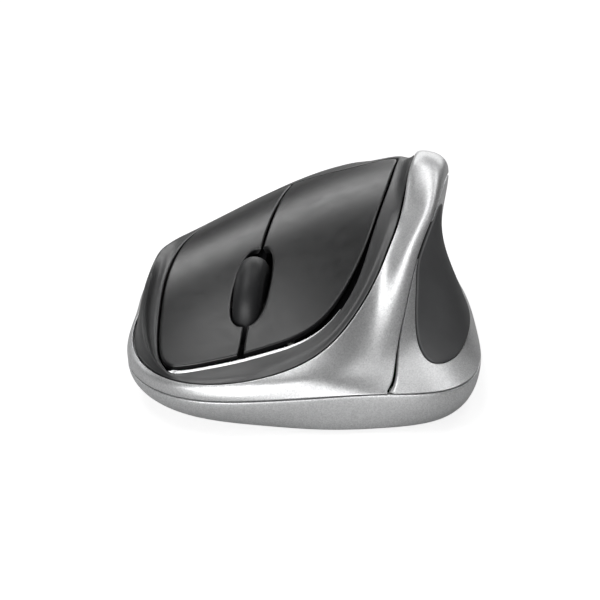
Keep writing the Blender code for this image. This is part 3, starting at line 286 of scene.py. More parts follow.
def skin_normal(angle, level):
    """Outward normal of the side skin."""
    angle, level = np.broadcast_arrays(np.asarray(angle, float), np.asarray(level, float))
    along = skin(angle + 1, level) - skin(angle - 1, level)
    low, high = np.clip(level - 0.01, 0, 1), np.clip(level + 0.01, 0, 1)
    down = skin(angle, high) - skin(angle, low)
    normal = np.cross(down, along)
    normal /= np.linalg.norm(normal, axis=-1, keepdims=True)
    return normal


def wall_direction(angle, level):
    """Direction across the wall: upright at the rim, level at the parting line, else the normal."""
    normal = skin_normal(angle, level)
    level = np.broadcast_to(level, normal.shape[:-1])
    at_rim = np.clip(1 - level / 0.2, 0, 1)[..., None]
    at_parting = np.clip((level - 0.7) / 0.3, 0, 1)
    normal[..., 2] *= 1 - at_parting
    mixed = normal * (1 - at_rim) + np.array((0, 0, 1.0)) * at_rim
    return mixed / np.linalg.norm(mixed, axis=-1, keepdims=True)


def skin_inside(angle, level, depth):
    """Points at a depth under the side skin."""
    return skin(angle, level) - wall_direction(angle, level) * np.asarray(depth)[..., None]


def bowl(angle, turn, inset=0.0):
    """Points of the base: turn 0 is the parting line and turn 1 the edge of the flat underside."""
    angle, turn = np.broadcast_arrays(np.asarray(angle, float), np.asarray(turn, float))
    edge = section_at(angle)[..., 5, :]
    foot = foot_radius_at(angle)
    bottom = FOOT_Z + inset
    radius = foot + (edge[..., 0] - foot) * np.cos(turn * pi / 2) - inset
    height = edge[..., 1] - (edge[..., 1] - bottom) * np.sin(turn * pi / 2)
    return polar(angle, radius, height)


def slit_level(angle):
    """Level of the thumb panel's upper edge, which meets the parting line at both ends."""
    rise = np.exp(-(angle - SLIT_START) / SLIT_FRONT_FADE) + np.exp((angle - SLIT_END) / SLIT_REAR_FADE)
    return SLIT_LEVEL + (1 - SLIT_LEVEL) * rise


def skin_length(angle):
    """Length of the skin from the rim down to the parting line."""
    return np.linalg.norm(np.diff(section_at(angle), axis=-2), axis=-1).sum(-1)


def slit_half_gap(angle):
    """Half the gap between the housing and the thumb panel, as a level."""
    width = SLIT_WIDTH + SLIT_FLARE * np.exp(-(angle - SLIT_START) / SLIT_FRONT_FADE)
    return width / 2 / skin_length(angle)


def panel_outline():
    """Radius of the buttons' outer edge as a function of angle."""
    points = np.array(PANEL)
    steps = np.linalg.norm(points - np.roll(points, 1, 0), axis=1)
    places = np.cumsum(steps) - steps[0]
    total = places[-1] + steps[0]
    dense = closed_spline(places, points, total)(np.linspace(0, total, 3600, endpoint=False))
    angles = polar_angle(dense.T)
    order = np.argsort(angles)
    radii = np.linalg.norm(dense - HUB, axis=1)
    return lambda angle: np.interp(np.asarray(angle) % 360, angles[order], radii[order], period=360)


panel_radius = panel_outline()


def recess(angle):
    """Depth of the open recess in front of the button lips: deep at the left, fading to the right."""
    offset = (np.asarray(angle, float) + 180) % 360 - 180
    rise = 1 / (1 + np.exp(-(offset - RECESS_LEFT) / RECESS_LEFT_FADE))
    fall = 1 / (1 + np.exp((offset - RECESS_RIGHT) / RECESS_RIGHT_FADE))
    return RECESS_DEPTH * rise * fall


def opening_radius(angle):
    """Radius of the cover's opening round the buttons."""
    return panel_radius(angle) + SEAM_GAP + recess(angle)


def cover_edge(angle):
    """Radius of the dark cover's outer edge, beside the silver rim."""
    return section_at(angle)[..., 0, 0] - SEAM_GAP


def roll_width(angle):
    """Width of the cover's rolled margin, never wider than the cover beside the buttons."""
    return np.minimum(roll_width_at(angle), 0.85 * (cover_edge(angle) - opening_radius(angle)))


def crown_at(angle, radius):
    """Height of the crown at polar places about the hub."""
    place = polar(angle, radius, 0 * radius)
    return crown(place[..., 0], place[..., 1])


def cover_height(angle, radius):
    """Height of the dark cover: the crown, a ridge on the left, rolled down to the rim."""
    edge = cover_edge(angle)
    drop = crown_at(angle, edge) - section_at(angle)[..., 0, 1]
    share = np.clip((edge - radius) / roll_width(angle), 0, 1)
    rolled = drop * (1 - share) ** 2
    inner = opening_radius(angle)
    across = np.clip((radius - inner) / (edge - inner), 0, 1)
    ridge = ridge_height_at(angle) * np.sin(pi * across**1.8) ** 2
    return crown_at(angle, radius) + ridge - rolled


def split_half_gap(y):
    """Half the gap between the buttons: wider in front of the wheel, and flared at the lip."""
    front = smooth_step((SLOT_CENTRE_Y - y) / SLOT_HALF_LENGTH)
    lip = smooth_step((SPLIT_LIP_Y - y) / SPLIT_LIP_REACH)
    return SPLIT_HALF_GAP + SPLIT_FRONT_GAIN * front + SPLIT_LIP_GAIN * lip


def smooth_step(share):
    """Rise softly from 0 to 1."""
    share = np.clip(share, 0, 1)
    return share * share * (3 - 2 * share)


def split_x(y):
    """Middle line of the gap between the buttons."""
    return SPLIT_X + SPLIT_BEND * (y - SPLIT_Y) ** 2


def slot_half_width(y):
    """Half the width of the wheel's slot."""
    share = np.clip(np.abs(y - SLOT_CENTRE_Y) / SLOT_HALF_LENGTH, 0, 1)
    return SLOT_HALF_WIDTH * (1 - share**SLOT_POWER) ** (1 / SLOT_POWER)


# ---- materials ----

def set_inputs(node, settings):
    """Set a shader node's inputs by name."""
    for name, value in settings.items():
        node.inputs[name].default_value = value


class Graph:
    """A short way to add and link shader nodes."""

    def __init__(self, name):
        self.material = bpy.data.materials.new(name)
        self.material.use_nodes = True
        self.tree = self.material.node_tree
        self.shader = self.tree.nodes["Principled BSDF"]
        self.place = self.add("ShaderNodeTexCoord").outputs["Object"]

    def add(self, kind):
        return self.tree.nodes.new(kind)

    def link(self, source, target):
        self.tree.links.new(source, target)

    def noise(self, size, detail):
        """Noise with features of a size in millimetres, as a value from 0 to 1."""
        node = self.add("ShaderNodeTexNoise")
        set_inputs(node, {"Scale": 1 / (size * MM), "Detail": detail})
        self.link(self.place, node.inputs["Vector"])
        return node.outputs["Fac"]

    def ramp(self, factor, stops):
        """Colours or greys at places from 0 to 1."""
        node = self.add("ShaderNodeValToRGB")
        while len(node.color_ramp.elements) < len(stops):
            node.color_ramp.elements.new(0.5)
        for element, (place, colour) in zip(node.color_ramp.elements, stops):
            element.position = place
            element.color = (*colour, 1) if isinstance(colour, tuple) else (colour, colour, colour, 1)
        self.link(factor, node.inputs["Fac"])
        return node.outputs["Color"]

    def bump(self, height, depth, before=None):
        """Raise the surface by a height of some millimetres."""
        node = self.add("ShaderNodeBump")
        set_inputs(node, {"Distance": depth * MM})
        self.link(height, node.inputs["Height"])
        if before:
            self.link(before, node.inputs["Normal"])
        return node.outputs["Normal"]


def moulded(name, colour, roughness, metallic=0.0, grain=0.3, depth=0.01, spread=0.12, wear=0.06,
            specular=0.5):
    """A moulded or painted surface: fine grain, a little unevenness of colour and of gloss."""
    graph = Graph(name)
    shader = graph.shader.inputs
    set_inputs(graph.shader, {"Metallic": metallic, "Specular IOR Level": specular})
    low = tuple(value * (1 - spread) for value in colour)
    high = tuple(min(1.0, value * (1 + spread)) for value in colour)
    graph.link(graph.ramp(graph.noise(9.0, 4.0), ((0.3, low), (0.7, high))), shader["Base Color"])
    gloss = graph.ramp(graph.noise(3.0, 5.0), ((0.3, roughness - wear / 2), (0.7, roughness + wear / 2)))
    graph.link(gloss, shader["Roughness"])
    graph.link(graph.bump(graph.noise(grain, 3.0), depth), shader["Normal"])
    return graph


def silver_paint():
    """Metallic paint: bright flakes of two sizes under a satin clear coat."""
    graph = Graph("silver_paint")
    shader = graph.shader.inputs
    set_inputs(graph.shader, {"Metallic": 0.88, "Coat Weight": 0.15, "Coat Roughness": 0.25})
    flakes = graph.add("ShaderNodeTexVoronoi")
    set_inputs(flakes, {"Scale": 1 / (0.28 * MM)})
    graph.link(graph.place, flakes.inputs["Vector"])
    colour = graph.ramp(flakes.outputs["Color"], ((0.1, (0.70, 0.705, 0.71)), (0.9, (0.88, 0.885, 0.89))))
    graph.link(colour, shader["Base Color"])
    graph.link(graph.ramp(graph.noise(0.5, 3.0), ((0.3, 0.39), (0.7, 0.48))), shader["Roughness"])
    flecks = graph.bump(graph.noise(0.22, 2.0), 0.014)
    graph.link(graph.bump(graph.noise(2.5, 2.0), 0.02, flecks), shader["Normal"])
    return graph


def board_green():
    """Solder mask over a pattern of copper tracks."""
    graph = moulded("board_green", (0.02, 0.16, 0.06), 0.4)
    tracks = graph.add("ShaderNodeTexBrick")
    set_inputs(tracks, {
        "Scale": 1 / (6 * MM), "Mortar Size": 0.03, "Mortar": (0.05, 0.30, 0.10, 1),
        "Color1": (0.012, 0.13, 0.045, 1), "Color2": (0.018, 0.16, 0.055, 1),
    })
    graph.link(graph.place, tracks.inputs["Vector"])
    graph.link(tracks.outputs["Color"], graph.shader.inputs["Base Color"])
    return graph


# Moulded finishes as (colour, roughness, metallic, grain in mm, depth of the grain in mm, others).
MOULDED = {
    "matte_charcoal": ((0.022, 0.0225, 0.0235), 0.38, 0, 0.16, 0.012, {"specular": 1.0}),
    "satin_graphite": ((0.009, 0.0092, 0.0097), 0.31, 0, 0.14, 0.007, {"specular": 0.65}),
    # gloss_black: the trim's own finish, also used on the black sheets of painted shade under the seams
    "gloss_black": ((0.010, 0.010, 0.011), 0.07, 0, 1.0, 0.003, {"wear": 0.03}),
    # bright metal for the recess strip: a painted highlight where the glossy trim catches light
    "strip_painted_highlight": ((0.75, 0.75, 0.76), 0.33, 0.9, 1.0, 0.002, {"wear": 0.04}),
    "soft_rubber": ((0.072, 0.073, 0.075), 0.5, 0, 0.12, 0.02, {}),
    "tyre_rubber": ((0.014, 0.0145, 0.0155), 0.48, 0, 0.12, 0.02, {}),
    "black_plastic": ((0.018, 0.018, 0.019), 0.45, 0, 0.25, 0.015, {}),
    "chip_black": ((0.015, 0.015, 0.016), 0.4, 0, 0.2, 0.01, {}),
    "steel": ((0.62, 0.62, 0.61), 0.3, 1, 0.4, 0.006, {}),
    "nickel": ((0.70, 0.68, 0.62), 0.25, 1, 0.6, 0.006, {}),
    "clear_plastic": ((0.80, 0.85, 0.85), 0.08, 0, 2.0, 0.002, {"wear": 0.03}),
    "led_red": ((0.55, 0.03, 0.02), 0.2, 0, 2.0, 0.002, {}),
    "cell_wrap": ((0.05, 0.17, 0.10), 0.25, 0.3, 1.5, 0.003, {}),
    "white_plastic": ((0.75, 0.74, 0.70), 0.45, 0, 0.4, 0.006, {}),
    "slick_white": ((0.74, 0.74, 0.72), 0.35, 0, 0.5, 0.01, {"spread": 0.06}),
}


def make_materials():
    """Every finish, by the name of its material slot."""
    graphs = {"silver_paint": silver_paint(), "board_green": board_green()}
    for name, (*values, others) in MOULDED.items():
        graphs[name] = moulded(name, *values, **others)
    return {name: graph.material for name, graph in graphs.items()}


# ---- meshes ----

def add_object(name, data):
    """Make an object and put it in the scene."""
    made = bpy.data.objects.new(name, data)
    bpy.context.scene.collection.objects.link(made)
    return made


def piece(name, points, faces, finish, body, nodes=(), sharp=40):
    """Make one visible piece from points in millimetres and hang it on its body."""
    mesh = bpy.data.meshes.new(name)
    mesh.from_pydata((np.asarray(points, float) * MM).tolist(), [], faces)
    work = bmesh.new()
    work.from_mesh(mesh)
    bmesh.ops.recalc_face_normals(work, faces=work.faces)
    if work.calc_volume(signed=True) < 0:
        bmesh.ops.reverse_faces(work, faces=work.faces)
    work.to_mesh(mesh)
    work.free()
    mesh.shade_smooth()
    mesh.set_sharp_from_angle(angle=radians(sharp))
    made = add_object(name, mesh)
    if finish:
        mesh.materials.append(MATERIALS[finish])
        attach(made, body)
    if nodes:
        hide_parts(*nodes)
    return made


def lattice(rows, cols, wrap_rows=False, wrap_cols=False):
    """Four-sided faces between the points of a grid."""
    i = np.arange(rows if wrap_rows else rows - 1)[:, None]
    j = np.arange(cols if wrap_cols else cols - 1)[None, :]
    i_next, j_next = (i + 1) % rows, (j + 1) % cols
    corners = (i * cols + j, i * cols + j_next, i_next * cols + j_next, i_next * cols + j)
    return np.stack(np.broadcast_arrays(*corners), -1).reshape(-1, 4).tolist()


def ring_piece(name, sections, finish, body, nodes=(), sharp=40):
    """A closed ring from closed sections."""
    sections = np.asarray(sections)
    faces = lattice(*sections.shape[:2], wrap_rows=True, wrap_cols=True)
    return piece(name, sections.reshape(-1, 3), faces, finish, body, nodes, sharp)


def capped_piece(name, rings, finish, body=None, nodes=(), sharp=40):
    """A stack of closed rings, with a fan to a middle point at each end."""
    rings = np.asarray(rings, float)
    count, size = rings.shape[:2]
    faces = lattice(count, size, wrap_cols=True)
    points = np.concatenate([rings.reshape(-1, 3), rings[:1].mean(1), rings[-1:].mean(1)])
    step = np.arange(size)
    for ring, middle in ((0, count * size), (count - 1, count * size + 1)):
        fan = np.stack([ring * size + step, ring * size + (step + 1) % size, np.full(size, middle)], 1)
        faces += fan.tolist()
    return piece(name, points, faces, finish, body, nodes, sharp)


def plate_piece(name, top, bottom, finish, body, nodes=(), sharp=40):
    """A plate from two equal grids of points and the walls between them."""
    rows, cols = top.shape[:2]
    half = rows * cols
    faces = lattice(rows, cols)
    faces += [[half + index for index in face[::-1]] for face in faces]
    border = list(range(cols))
    border += [i * cols + cols - 1 for i in range(1, rows)]
    border += [(rows - 1) * cols + j for j in range(cols - 2, -1, -1)]
    border += [i * cols for i in range(rows - 2, 0, -1)]
    faces += [[b, a, half + a, half + b] for a, b in zip(border, border[1:] + border[:1])]
    points = np.concatenate([top.reshape(-1, 3), bottom.reshape(-1, 3)])
    return piece(name, points, faces, finish, body, nodes, sharp)


def turned_rings(profile, centre, axis, segments):
    """Rings of a profile of (distance along the axis, radius) turned round its axis."""
    bend = np.linspace(0, 2 * pi, segments, endpoint=False)
    rings = []
    for along, radius in profile:
        u, v, w = radius * np.cos(bend), radius * np.sin(bend), np.full(segments, along)
        rings.append(np.stack({"x": (w, u, v), "z": (u, v, w)}[axis], 1) + centre)
    return rings


def stadium(length, width, segments=10):
    """Outline of a bar with round ends."""
    reach = (length - width) / 2
    outline = []
    for side in (1, -1):
        for bend in np.linspace(-pi / 2, pi / 2, segments):
            outline.append((side * (reach + width / 2 * cos(bend)), side * width / 2 * sin(bend)))
    return np.array(outline)


def rounded_box(size_x, size_y, corner, segments=6):
    """Outline of a box with round corners."""
    outline = []
    for quarter, (sx, sy) in enumerate(((1, 1), (-1, 1), (-1, -1), (1, -1))):
        for bend in np.linspace(quarter * pi / 2, (quarter + 1) * pi / 2, segments):
            outline.append((sx * (size_x / 2 - corner) + corner * cos(bend),
                            sy * (size_y / 2 - corner) + corner * sin(bend)))
    return np.array(outline)


def circle(radius, segments=28):
    """Outline of a circle."""
    bend = np.linspace(0, 2 * pi, segments, endpoint=False)
    return np.column_stack([radius * np.cos(bend), radius * np.sin(bend)])


def inset_outline(outline, distance):
    """Move a closed outline inwards, or outwards when the distance is negative."""
    along = np.roll(outline, -1, 0) - np.roll(outline, 1, 0)
    inward = np.stack([-along[:, 1], along[:, 0]], 1)
    return outline + inward / np.linalg.norm(inward, axis=1, keepdims=True) * distance


def slab_rings(outline, centre, profile, turn=0.0):
    """Rings of an outline at heights: the profile lists (height, inset)."""
    c, s = cos(radians(turn)), sin(radians(turn))
    rings = []
    for height, inset in profile:
        flat = inset_outline(outline, inset) @ np.array(((c, s), (-s, c)))
        rings.append(np.column_stack([flat, np.full(len(flat), height)]) + centre)
    return rings


def arc_steps(radius, steps=4):
    """(distance from the edge, depth) pairs round a quarter circle, from the face to the edge."""
    bend = np.linspace(0, pi / 2, steps + 1)
    return radius * (1 - np.sin(bend)), radius * (1 - np.cos(bend))


def cut(target, name, rings):
    """Cut a stack of rings out of a piece, once its cuts are applied."""
    step = target.modifiers.new(name, "BOOLEAN")
    step.operation = "DIFFERENCE"
    step.solver = "EXACT"
    step.object = capped_piece(name, rings, None)


def apply_cuts(made, sharp=40):
    """Fix the cuts into the mesh, and remove the cutters."""
    tools = [step.object for step in made.modifiers]
    evaluated = made.evaluated_get(bpy.context.evaluated_depsgraph_get())
    mesh = bpy.data.meshes.new_from_object(evaluated)
    made.modifiers.clear()
    old = made.data
    made.data = mesh
    bpy.data.meshes.remove(old)
    mesh.name = made.name
    for tool in tools:
        bpy.data.objects.remove(tool, do_unlink=True)
    mesh.set_sharp_from_angle(angle=radians(sharp))


# ---- silver shells ----

def wall_section(angle, lower):
    """One closed section of the housing, with rounded edges: from the rim down to a level."""
    length = float(skin_length(angle))
    near, deep = arc_steps(RIM_ROUND)
    top_levels, top_depths = near[::-1] / length, deep[::-1]
    near, deep = arc_steps(PARTING_ROUND)
    low_levels = lower - near / length
    middle = np.linspace(top_levels[-1], low_levels[0], 46)[1:-1]
    levels = np.concatenate([top_levels, middle, low_levels])
    depths = np.concatenate([top_depths, 0 * middle, deep])
    inner = skin_inside(angle, np.linspace(lower, 0.0, 10), SKIN_WALL)
    return np.concatenate([skin_inside(angle, levels, depths), inner])


def housing_lower(angle):
    """Level of the housing's lower edge: the parting line, or the slit over the thumb panel."""
    along_slit = (angle > SLIT_START) & (angle < SLIT_END)
    return np.where(along_slit, np.minimum(slit_level(angle) - slit_half_gap(angle), 1.0), 1.0)


def make_housing():
    """The silver ring from the rim down to the parting line or the slit."""
    fine = np.concatenate([np.arange(SLIT_START, 48, 0.25), np.arange(164, SLIT_END + 0.3, 0.25)])
    angles = np.unique(np.round(np.concatenate([np.arange(0, 360, 1.0), fine]), 3))
    sections = []
    for angle in angles:
        sections.append(wall_section(angle, float(housing_lower(angle))))
    ring_piece("housing_shell", sections, "silver_paint", "case", ("upper_housing",))


def grip_path(place):
    """The grip's outline at a place from 0 to the number of its points, opened up to the slit on top."""
    count = len(GRIP)
    outline = closed_spline(np.arange(count, dtype=float), GRIP, count)(place)
    angle, level = outline[..., 0], outline[..., 1]
    on_top = np.asarray(place) % count < GRIP_TOP_END
    rise = smooth_step((angle - TIP_START) / (TIP_FRONT - TIP_START))
    rise *= smooth_step((TIP_END - angle) / (TIP_END - TIP_REAR))
    border = slit_level(angle) + slit_half_gap(angle)
    level = np.where(on_top, level + rise * (border - level), level)
    return angle, level


def panel_paths():
    """Matching paths round the thumb panel: its outer border, and the grip's outline."""
    front_steps, parting_steps, rear_steps = PANEL_STEPS
    share = 1 - (1 - np.linspace(0, 1, front_steps)) ** 1.6
    front = TIP_FRONT + (PANEL_START - TIP_FRONT) * share
    parting = np.linspace(PANEL_START, PANEL_END, parting_steps)[1:-1]
    rear = np.linspace(PANEL_END, TIP_REAR, rear_steps)
    angles = np.concatenate([front, parting, rear])
    levels = np.minimum(slit_level(angles) + slit_half_gap(angles), 1.0)
    levels[front_steps:front_steps + len(parting)] = 1.0
    front, parting, rear = map(np.linspace, PANEL_PLACES, PANEL_PLACES[1:], PANEL_STEPS)
    places = np.concatenate([front, parting[1:-1], rear])
    return angles, levels, places


def make_thumb_panel():
    """The silver side panel: bevelled along the slit and the parting line, with a pocket for the grip."""
    angles, levels, places = panel_paths()
    grip_angles, grip_levels = grip_path(places)
    top, bottom = [], []
    for angle, level, grip_angle, grip_level in zip(angles, levels, grip_angles, grip_levels):
        ends = skin(np.array((angle, grip_angle)), np.array((level, grip_level)))
        length = max(0.05, float(np.linalg.norm(ends[1] - ends[0])))
        flare = PARTING_BEVEL
        if level < 0.999:
            flare = PANEL_BEVEL + PANEL_FLARE * np.exp(-(angle - SLIT_START) / PANEL_FLARE_FADE)
        flare = min(flare, 0.4 * length)
        edge = min(POCKET_ROUND, 0.4 * length)
        near, deep = arc_steps(edge, 3)
        bevel = np.array((0, 0.08, 0.35, 0.7, 1.0)) * flare
        bevel_depth = np.array((0.75, 0.55, 0.38, 0.12, 0.0)) * min(1.0, flare / 0.5)
        middle = np.linspace(flare, length - edge, 26)[1:-1]
        place = np.concatenate([bevel, middle, length - near, [length, length + POCKET_REACH]]) / length
        depth = np.concatenate([bevel_depth, 0 * middle, deep, [GRIP_DEPTH + GAP, GRIP_DEPTH + GAP]])
        place[-1] = min(place[-1], 1.3)
        a = angle + (grip_angle - angle) * place
        b = np.clip(level + (grip_level - level) * place, 0, 1)
        top.append(skin_inside(a, b, depth))
        bottom.append(skin_inside(a, b, PANEL_WALL))
    top, bottom = np.array(top), np.array(bottom)
    plate_piece("thumb_panel_shell", top, bottom, "silver_paint", "case", ("thumb_panel",))


def make_thumb_grip():
    """The rubber grip, a little proud of the panel, with a soft rounded edge."""
    places = np.linspace(0, len(GRIP), 260, endpoint=False)
    angle, level = grip_path(places)
    middle = np.array((angle.mean(), level.mean()))
    reach = np.linalg.norm(skin(angle, level) - skin(*middle), axis=-1)
    clear = GAP / reach
    near, deep = arc_steps(GRIP_ROUND, 5)
    shares = list(np.linspace(0.03, 0.93, 22)) + [1 - clear - distance / reach for distance in near]
    shares += [1 - clear, 0.7, 0.3]
    depths = [-GRIP_PROUD] * 22 + list(deep - GRIP_PROUD) + [GRIP_DEPTH] * 3
    rings = []
    for share, depth in zip(shares, depths):
        a = middle[0] + (angle - middle[0]) * share
        b = middle[1] + (level - middle[1]) * share
        rings.append(skin_inside(a, b, depth))
    capped_piece("thumb_grip_pad", rings, "soft_rubber", "case", ("thumb_grip",))


# ---- underside ----

def make_base():
    """The silver bowl with a rounded parting edge, and every opening in its flat underside."""
    angles = np.arange(0, 360, 1.5)
    foot = foot_radius_at(angles)
    lift = np.array((0, 0, -GAP))
    near, deep = arc_steps(PARTING_ROUND)
    rings = [polar(angles, foot * share, FOOT_Z + SHELL_WALL) for share in (0.3, 0.7)]
    rings += [bowl(angles, turn, SHELL_WALL) + lift * (1 - turn) for turn in np.linspace(1, 0, 12)]
    edge = section_at(angles)[..., 5, :]
    for distance, depth in zip(near[::-1], deep[::-1]):
        rings.append(polar(angles, edge[:, 0] - depth, edge[:, 1] - GAP - distance))
    rings += [bowl(angles, turn) + lift * (1 - turn) for turn in np.linspace(0.06, 1, 30)]
    rings += [polar(angles, foot * share, FOOT_Z) for share in (0.8, 0.55, 0.3)]
    shell = capped_piece("base_bowl", rings, "silver_paint", "case", ("base_shell",))
    for corner, turn in GLIDE_TURNS.items():
        outline = stadium(GLIDE_LENGTH + 2 * GAP, GLIDE_WIDTH + 2 * GAP)
        cut_opening(shell, f"glide_pocket_{corner}", outline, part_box(f"glide_{corner}"), GLIDE_POCKET, turn)
    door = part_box("battery_door")
    low, high = in_mm(door)
    cut_opening(shell, "door_opening", rounded_box(*(high - low + 2 * GAP)[:2], DOOR_OPENING_CORNER), door)
    cut_opening(shell, "sensor_opening", rounded_box(*SENSOR_OPENING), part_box("sensor_lens"))
    cut_opening(shell, "power_opening", stadium(*POWER_OPENING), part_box("power_switch"))
    cut_opening(shell, "connect_opening", circle(CONNECT_RADIUS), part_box("connect_button"))
    for side in ("left", "right"):
        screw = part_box(f"case_screw_{side}")
        cut_opening(shell, f"screw_pocket_{side}", circle(SCREW_POCKET_RADIUS), screw, SCREW_POCKET_DEPTH)
    apply_cuts(shell)


def in_mm(box):
    """The two corners of a box, in millimetres."""
    return (np.array(corner) / MM for corner in box)


def middle_of(low, high):
    """Middle of a box in plan, in millimetres."""
    return np.array(((low[0] + high[0]) / 2 / MM, (low[1] + high[1]) / 2 / MM, 0.0))


def cut_opening(shell, name, outline, box, depth=OPENING_DEPTH, turn=0.0):
    """Cut an outline up into the underside at a part's box, with a small bevel round its mouth."""
    profile = ((FOOT_Z - 1.0, -0.25), (FOOT_Z - 0.02, -0.25), (FOOT_Z + 0.23, 0.0), (FOOT_Z + depth, 0.0))
    cut(shell, name, slab_rings(outline, middle_of(*box), profile, turn))


def make_glides():
    """The four glides, with a rounded lower edge."""
    near, deep = arc_steps(GLIDE_ROUND)
    profile = [(0.0, 1.6), (0.0, 0.9), *zip(deep, near), (GLIDE_HEIGHT, 0.0)]
    for corner, turn in GLIDE_TURNS.items():
        centre = middle_of(*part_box(f"glide_{corner}"))
        rings = slab_rings(stadium(GLIDE_LENGTH, GLIDE_WIDTH, 16), centre, profile, turn)
        capped_piece(f"glide_pad_{corner}", rings, "slick_white", "case", (f"glide_{corner}",))


# ---- dark cover and buttons ----

def make_cover():
    """The palm rest and the ring round the buttons, with a rounded inner lip."""
    sections = []
    near, deep = arc_steps(COVER_ROUND, 5)
    for angle in np.arange(0, 360, 0.75):
        inner, edge, width = opening_radius(angle), cover_edge(angle), roll_width(angle)
        lip = inner + near[::-1]
        flat = np.linspace(inner + COVER_ROUND, edge - width, 14)[1:]
        bend = np.linspace(0, pi / 2, 16)[1:]
        margin = edge - width * (1 - np.sin(bend))
        radius = np.concatenate([lip, flat, margin])
        height = cover_height(angle, radius)
        height[:len(lip)] -= deep[::-1]
        top = polar(angle, radius, height)
        foot = height[-1] - COVER_EDGE_DEPTH
        wall = [polar(angle, edge, foot), polar(angle, edge - COVER_FOOT, foot - 0.1)]
        under = np.linspace(edge - COVER_FOOT - width * 0.3, inner, 6)
        low = cover_height(angle, under) - COVER_THICKNESS
        low[-1] = cover_height(angle, inner) - COVER_LIP_DEPTH
        sections.append(np.concatenate([top, wall, polar(angle, under, low)]))
    ring_piece("cover_shell", sections, "matte_charcoal", "case", ("top_frame",))


def split_curve(side):
    """Edge of a button along the split and round the wheel slot, front to rear, in plan."""
    start, end = SLOT_CENTRE_Y - SLOT_HALF_LENGTH, SLOT_CENTRE_Y + SLOT_HALF_LENGTH
    bend = np.linspace(0, pi, 800)
    slot_y = SLOT_CENTRE_Y - SLOT_HALF_LENGTH * np.cos(bend)
    front_y = np.linspace(SPLIT_FRONT_Y, start, 400)[:-1]
    rear_y = np.linspace(end, SPLIT_REAR_Y, 400)[1:]
    y = np.concatenate([front_y, slot_y, rear_y])
    inner = split_x(y) + side * split_half_gap(y)
    slot = WHEEL_X + side * slot_half_width(y)
    inside = np.abs(y - SLOT_CENTRE_Y) < SLOT_HALF_LENGTH
    x = np.where(inside, side * np.maximum(side * inner, side * slot), inner)
    return np.stack([x, y], 1)


def panel_arc(start, end):
    """Part of the buttons' outer edge, in plan."""
    angle = np.linspace(start, end, 900)
    return polar(angle, panel_radius(angle), 0)[:, :2]


def along_curve(points, shares):
    """Points at shares of a curve's length."""
    steps = np.linalg.norm(np.diff(points, axis=0), axis=1)
    place = np.append(0, np.cumsum(steps))
    return np.stack([np.interp(shares * place[-1], place, points[:, k]) for k in (0, 1)], 1), place


def clustered(count, spots, reach):
    """Shares from 0 to 1, with extra ones close to some spots."""
    near = np.array((0.0, 0.06, 0.2, 0.4, 0.65, 1.0)) * reach
    extra = np.concatenate([np.concatenate([spot - near, spot + near]) for spot in spots])
    shares = np.concatenate([np.linspace(0, 1, count), extra])
    shares = np.unique(np.round(np.clip(shares, 0, 1), 6))
    keep = np.append(True, np.diff(shares) > 0.02 * reach)
    return shares[keep]


def coons(left, right, front, rear, u, v):
    """Fill four plan edges: left and right run front to rear, front and rear run left to right."""
    u, v = u[None, :, None], v[:, None, None]
    sides = (1 - u) * left[:, None] + u * right[:, None]
    ends = (1 - v) * front[None] + v * rear[None]
    corners = (1 - u) * (1 - v) * front[0] + u * (1 - v) * front[-1]
    corners = corners + (1 - u) * v * rear[0] + u * v * rear[-1]
    return sides + ends - corners


def border_distance(plan, border):
    """Distance of every plan point from a closed border."""
    start, end = border, np.roll(border, -1, 0)
    along = end - start
    size = np.maximum((along**2).sum(1), 1e-12)
    flat = plan.reshape(-1, 2)
    best = np.full(len(flat), np.inf)
    for a, d, s in zip(start, along, size):
        share = np.clip(((flat - a) @ d) / s, 0, 1)
        best = np.minimum(best, np.linalg.norm(flat - a - share[:, None] * d, axis=1))
    return best.reshape(plan.shape[:2])


def make_button(name, side, body, node):
    """A button with rounded lips all round and a short skirt."""
    inner = split_curve(side)
    front_corner, rear_corner = PANEL_CORNERS[side]
    outer = panel_arc(front_corner, rear_corner)
    front = panel_arc(front_corner, polar_angle(inner[0]) - (360 if side > 0 else 0))[::-side]
    rear = panel_arc(rear_corner, polar_angle(inner[-1]))[::-side]
    left, right = (outer, inner) if side < 0 else (inner, outer)
    left[0], right[0], left[-1], right[-1] = front[0], front[-1], rear[0], rear[-1]
    _, place = along_curve(inner, np.array((0.0,)))
    spots = [0, 1]
    for y in (SLOT_CENTRE_Y - SLOT_HALF_LENGTH, SLOT_CENTRE_Y + SLOT_HALF_LENGTH):
        spots.append(place[np.argmin(np.abs(inner[:, 1] - y))] / place[-1])
    v = clustered(130, spots, BUTTON_ROUND / BUTTON_LENGTH)
    u = clustered(44, (0, 1), BUTTON_ROUND / BUTTON_WIDTH)
    sides = [along_curve(curve, v)[0] for curve in (left, right)]
    ends = [along_curve(curve, u)[0] for curve in (front, rear)]
    plan = coons(*sides, *ends, u, v)
    border = np.concatenate([plan[0], plan[1:, -1], plan[-1, -2::-1], plan[-2:0:-1, 0]])
    distance = np.minimum(border_distance(plan, border), BUTTON_ROUND)
    roll = BUTTON_ROUND - np.sqrt(BUTTON_ROUND**2 - (BUTTON_ROUND - distance) ** 2)
    height = crown(plan[..., 0], plan[..., 1])
    top = np.dstack([plan, height - roll])
    middle = plan.mean((0, 1))
    tucked = plan + (middle - plan) * (BUTTON_TUCK / np.linalg.norm(middle - plan, axis=2, keepdims=True))
    bottom = np.dstack([tucked, height - BUTTON_THICKNESS])
    plate_piece(name, top, bottom, "satin_graphite", body, (node,))


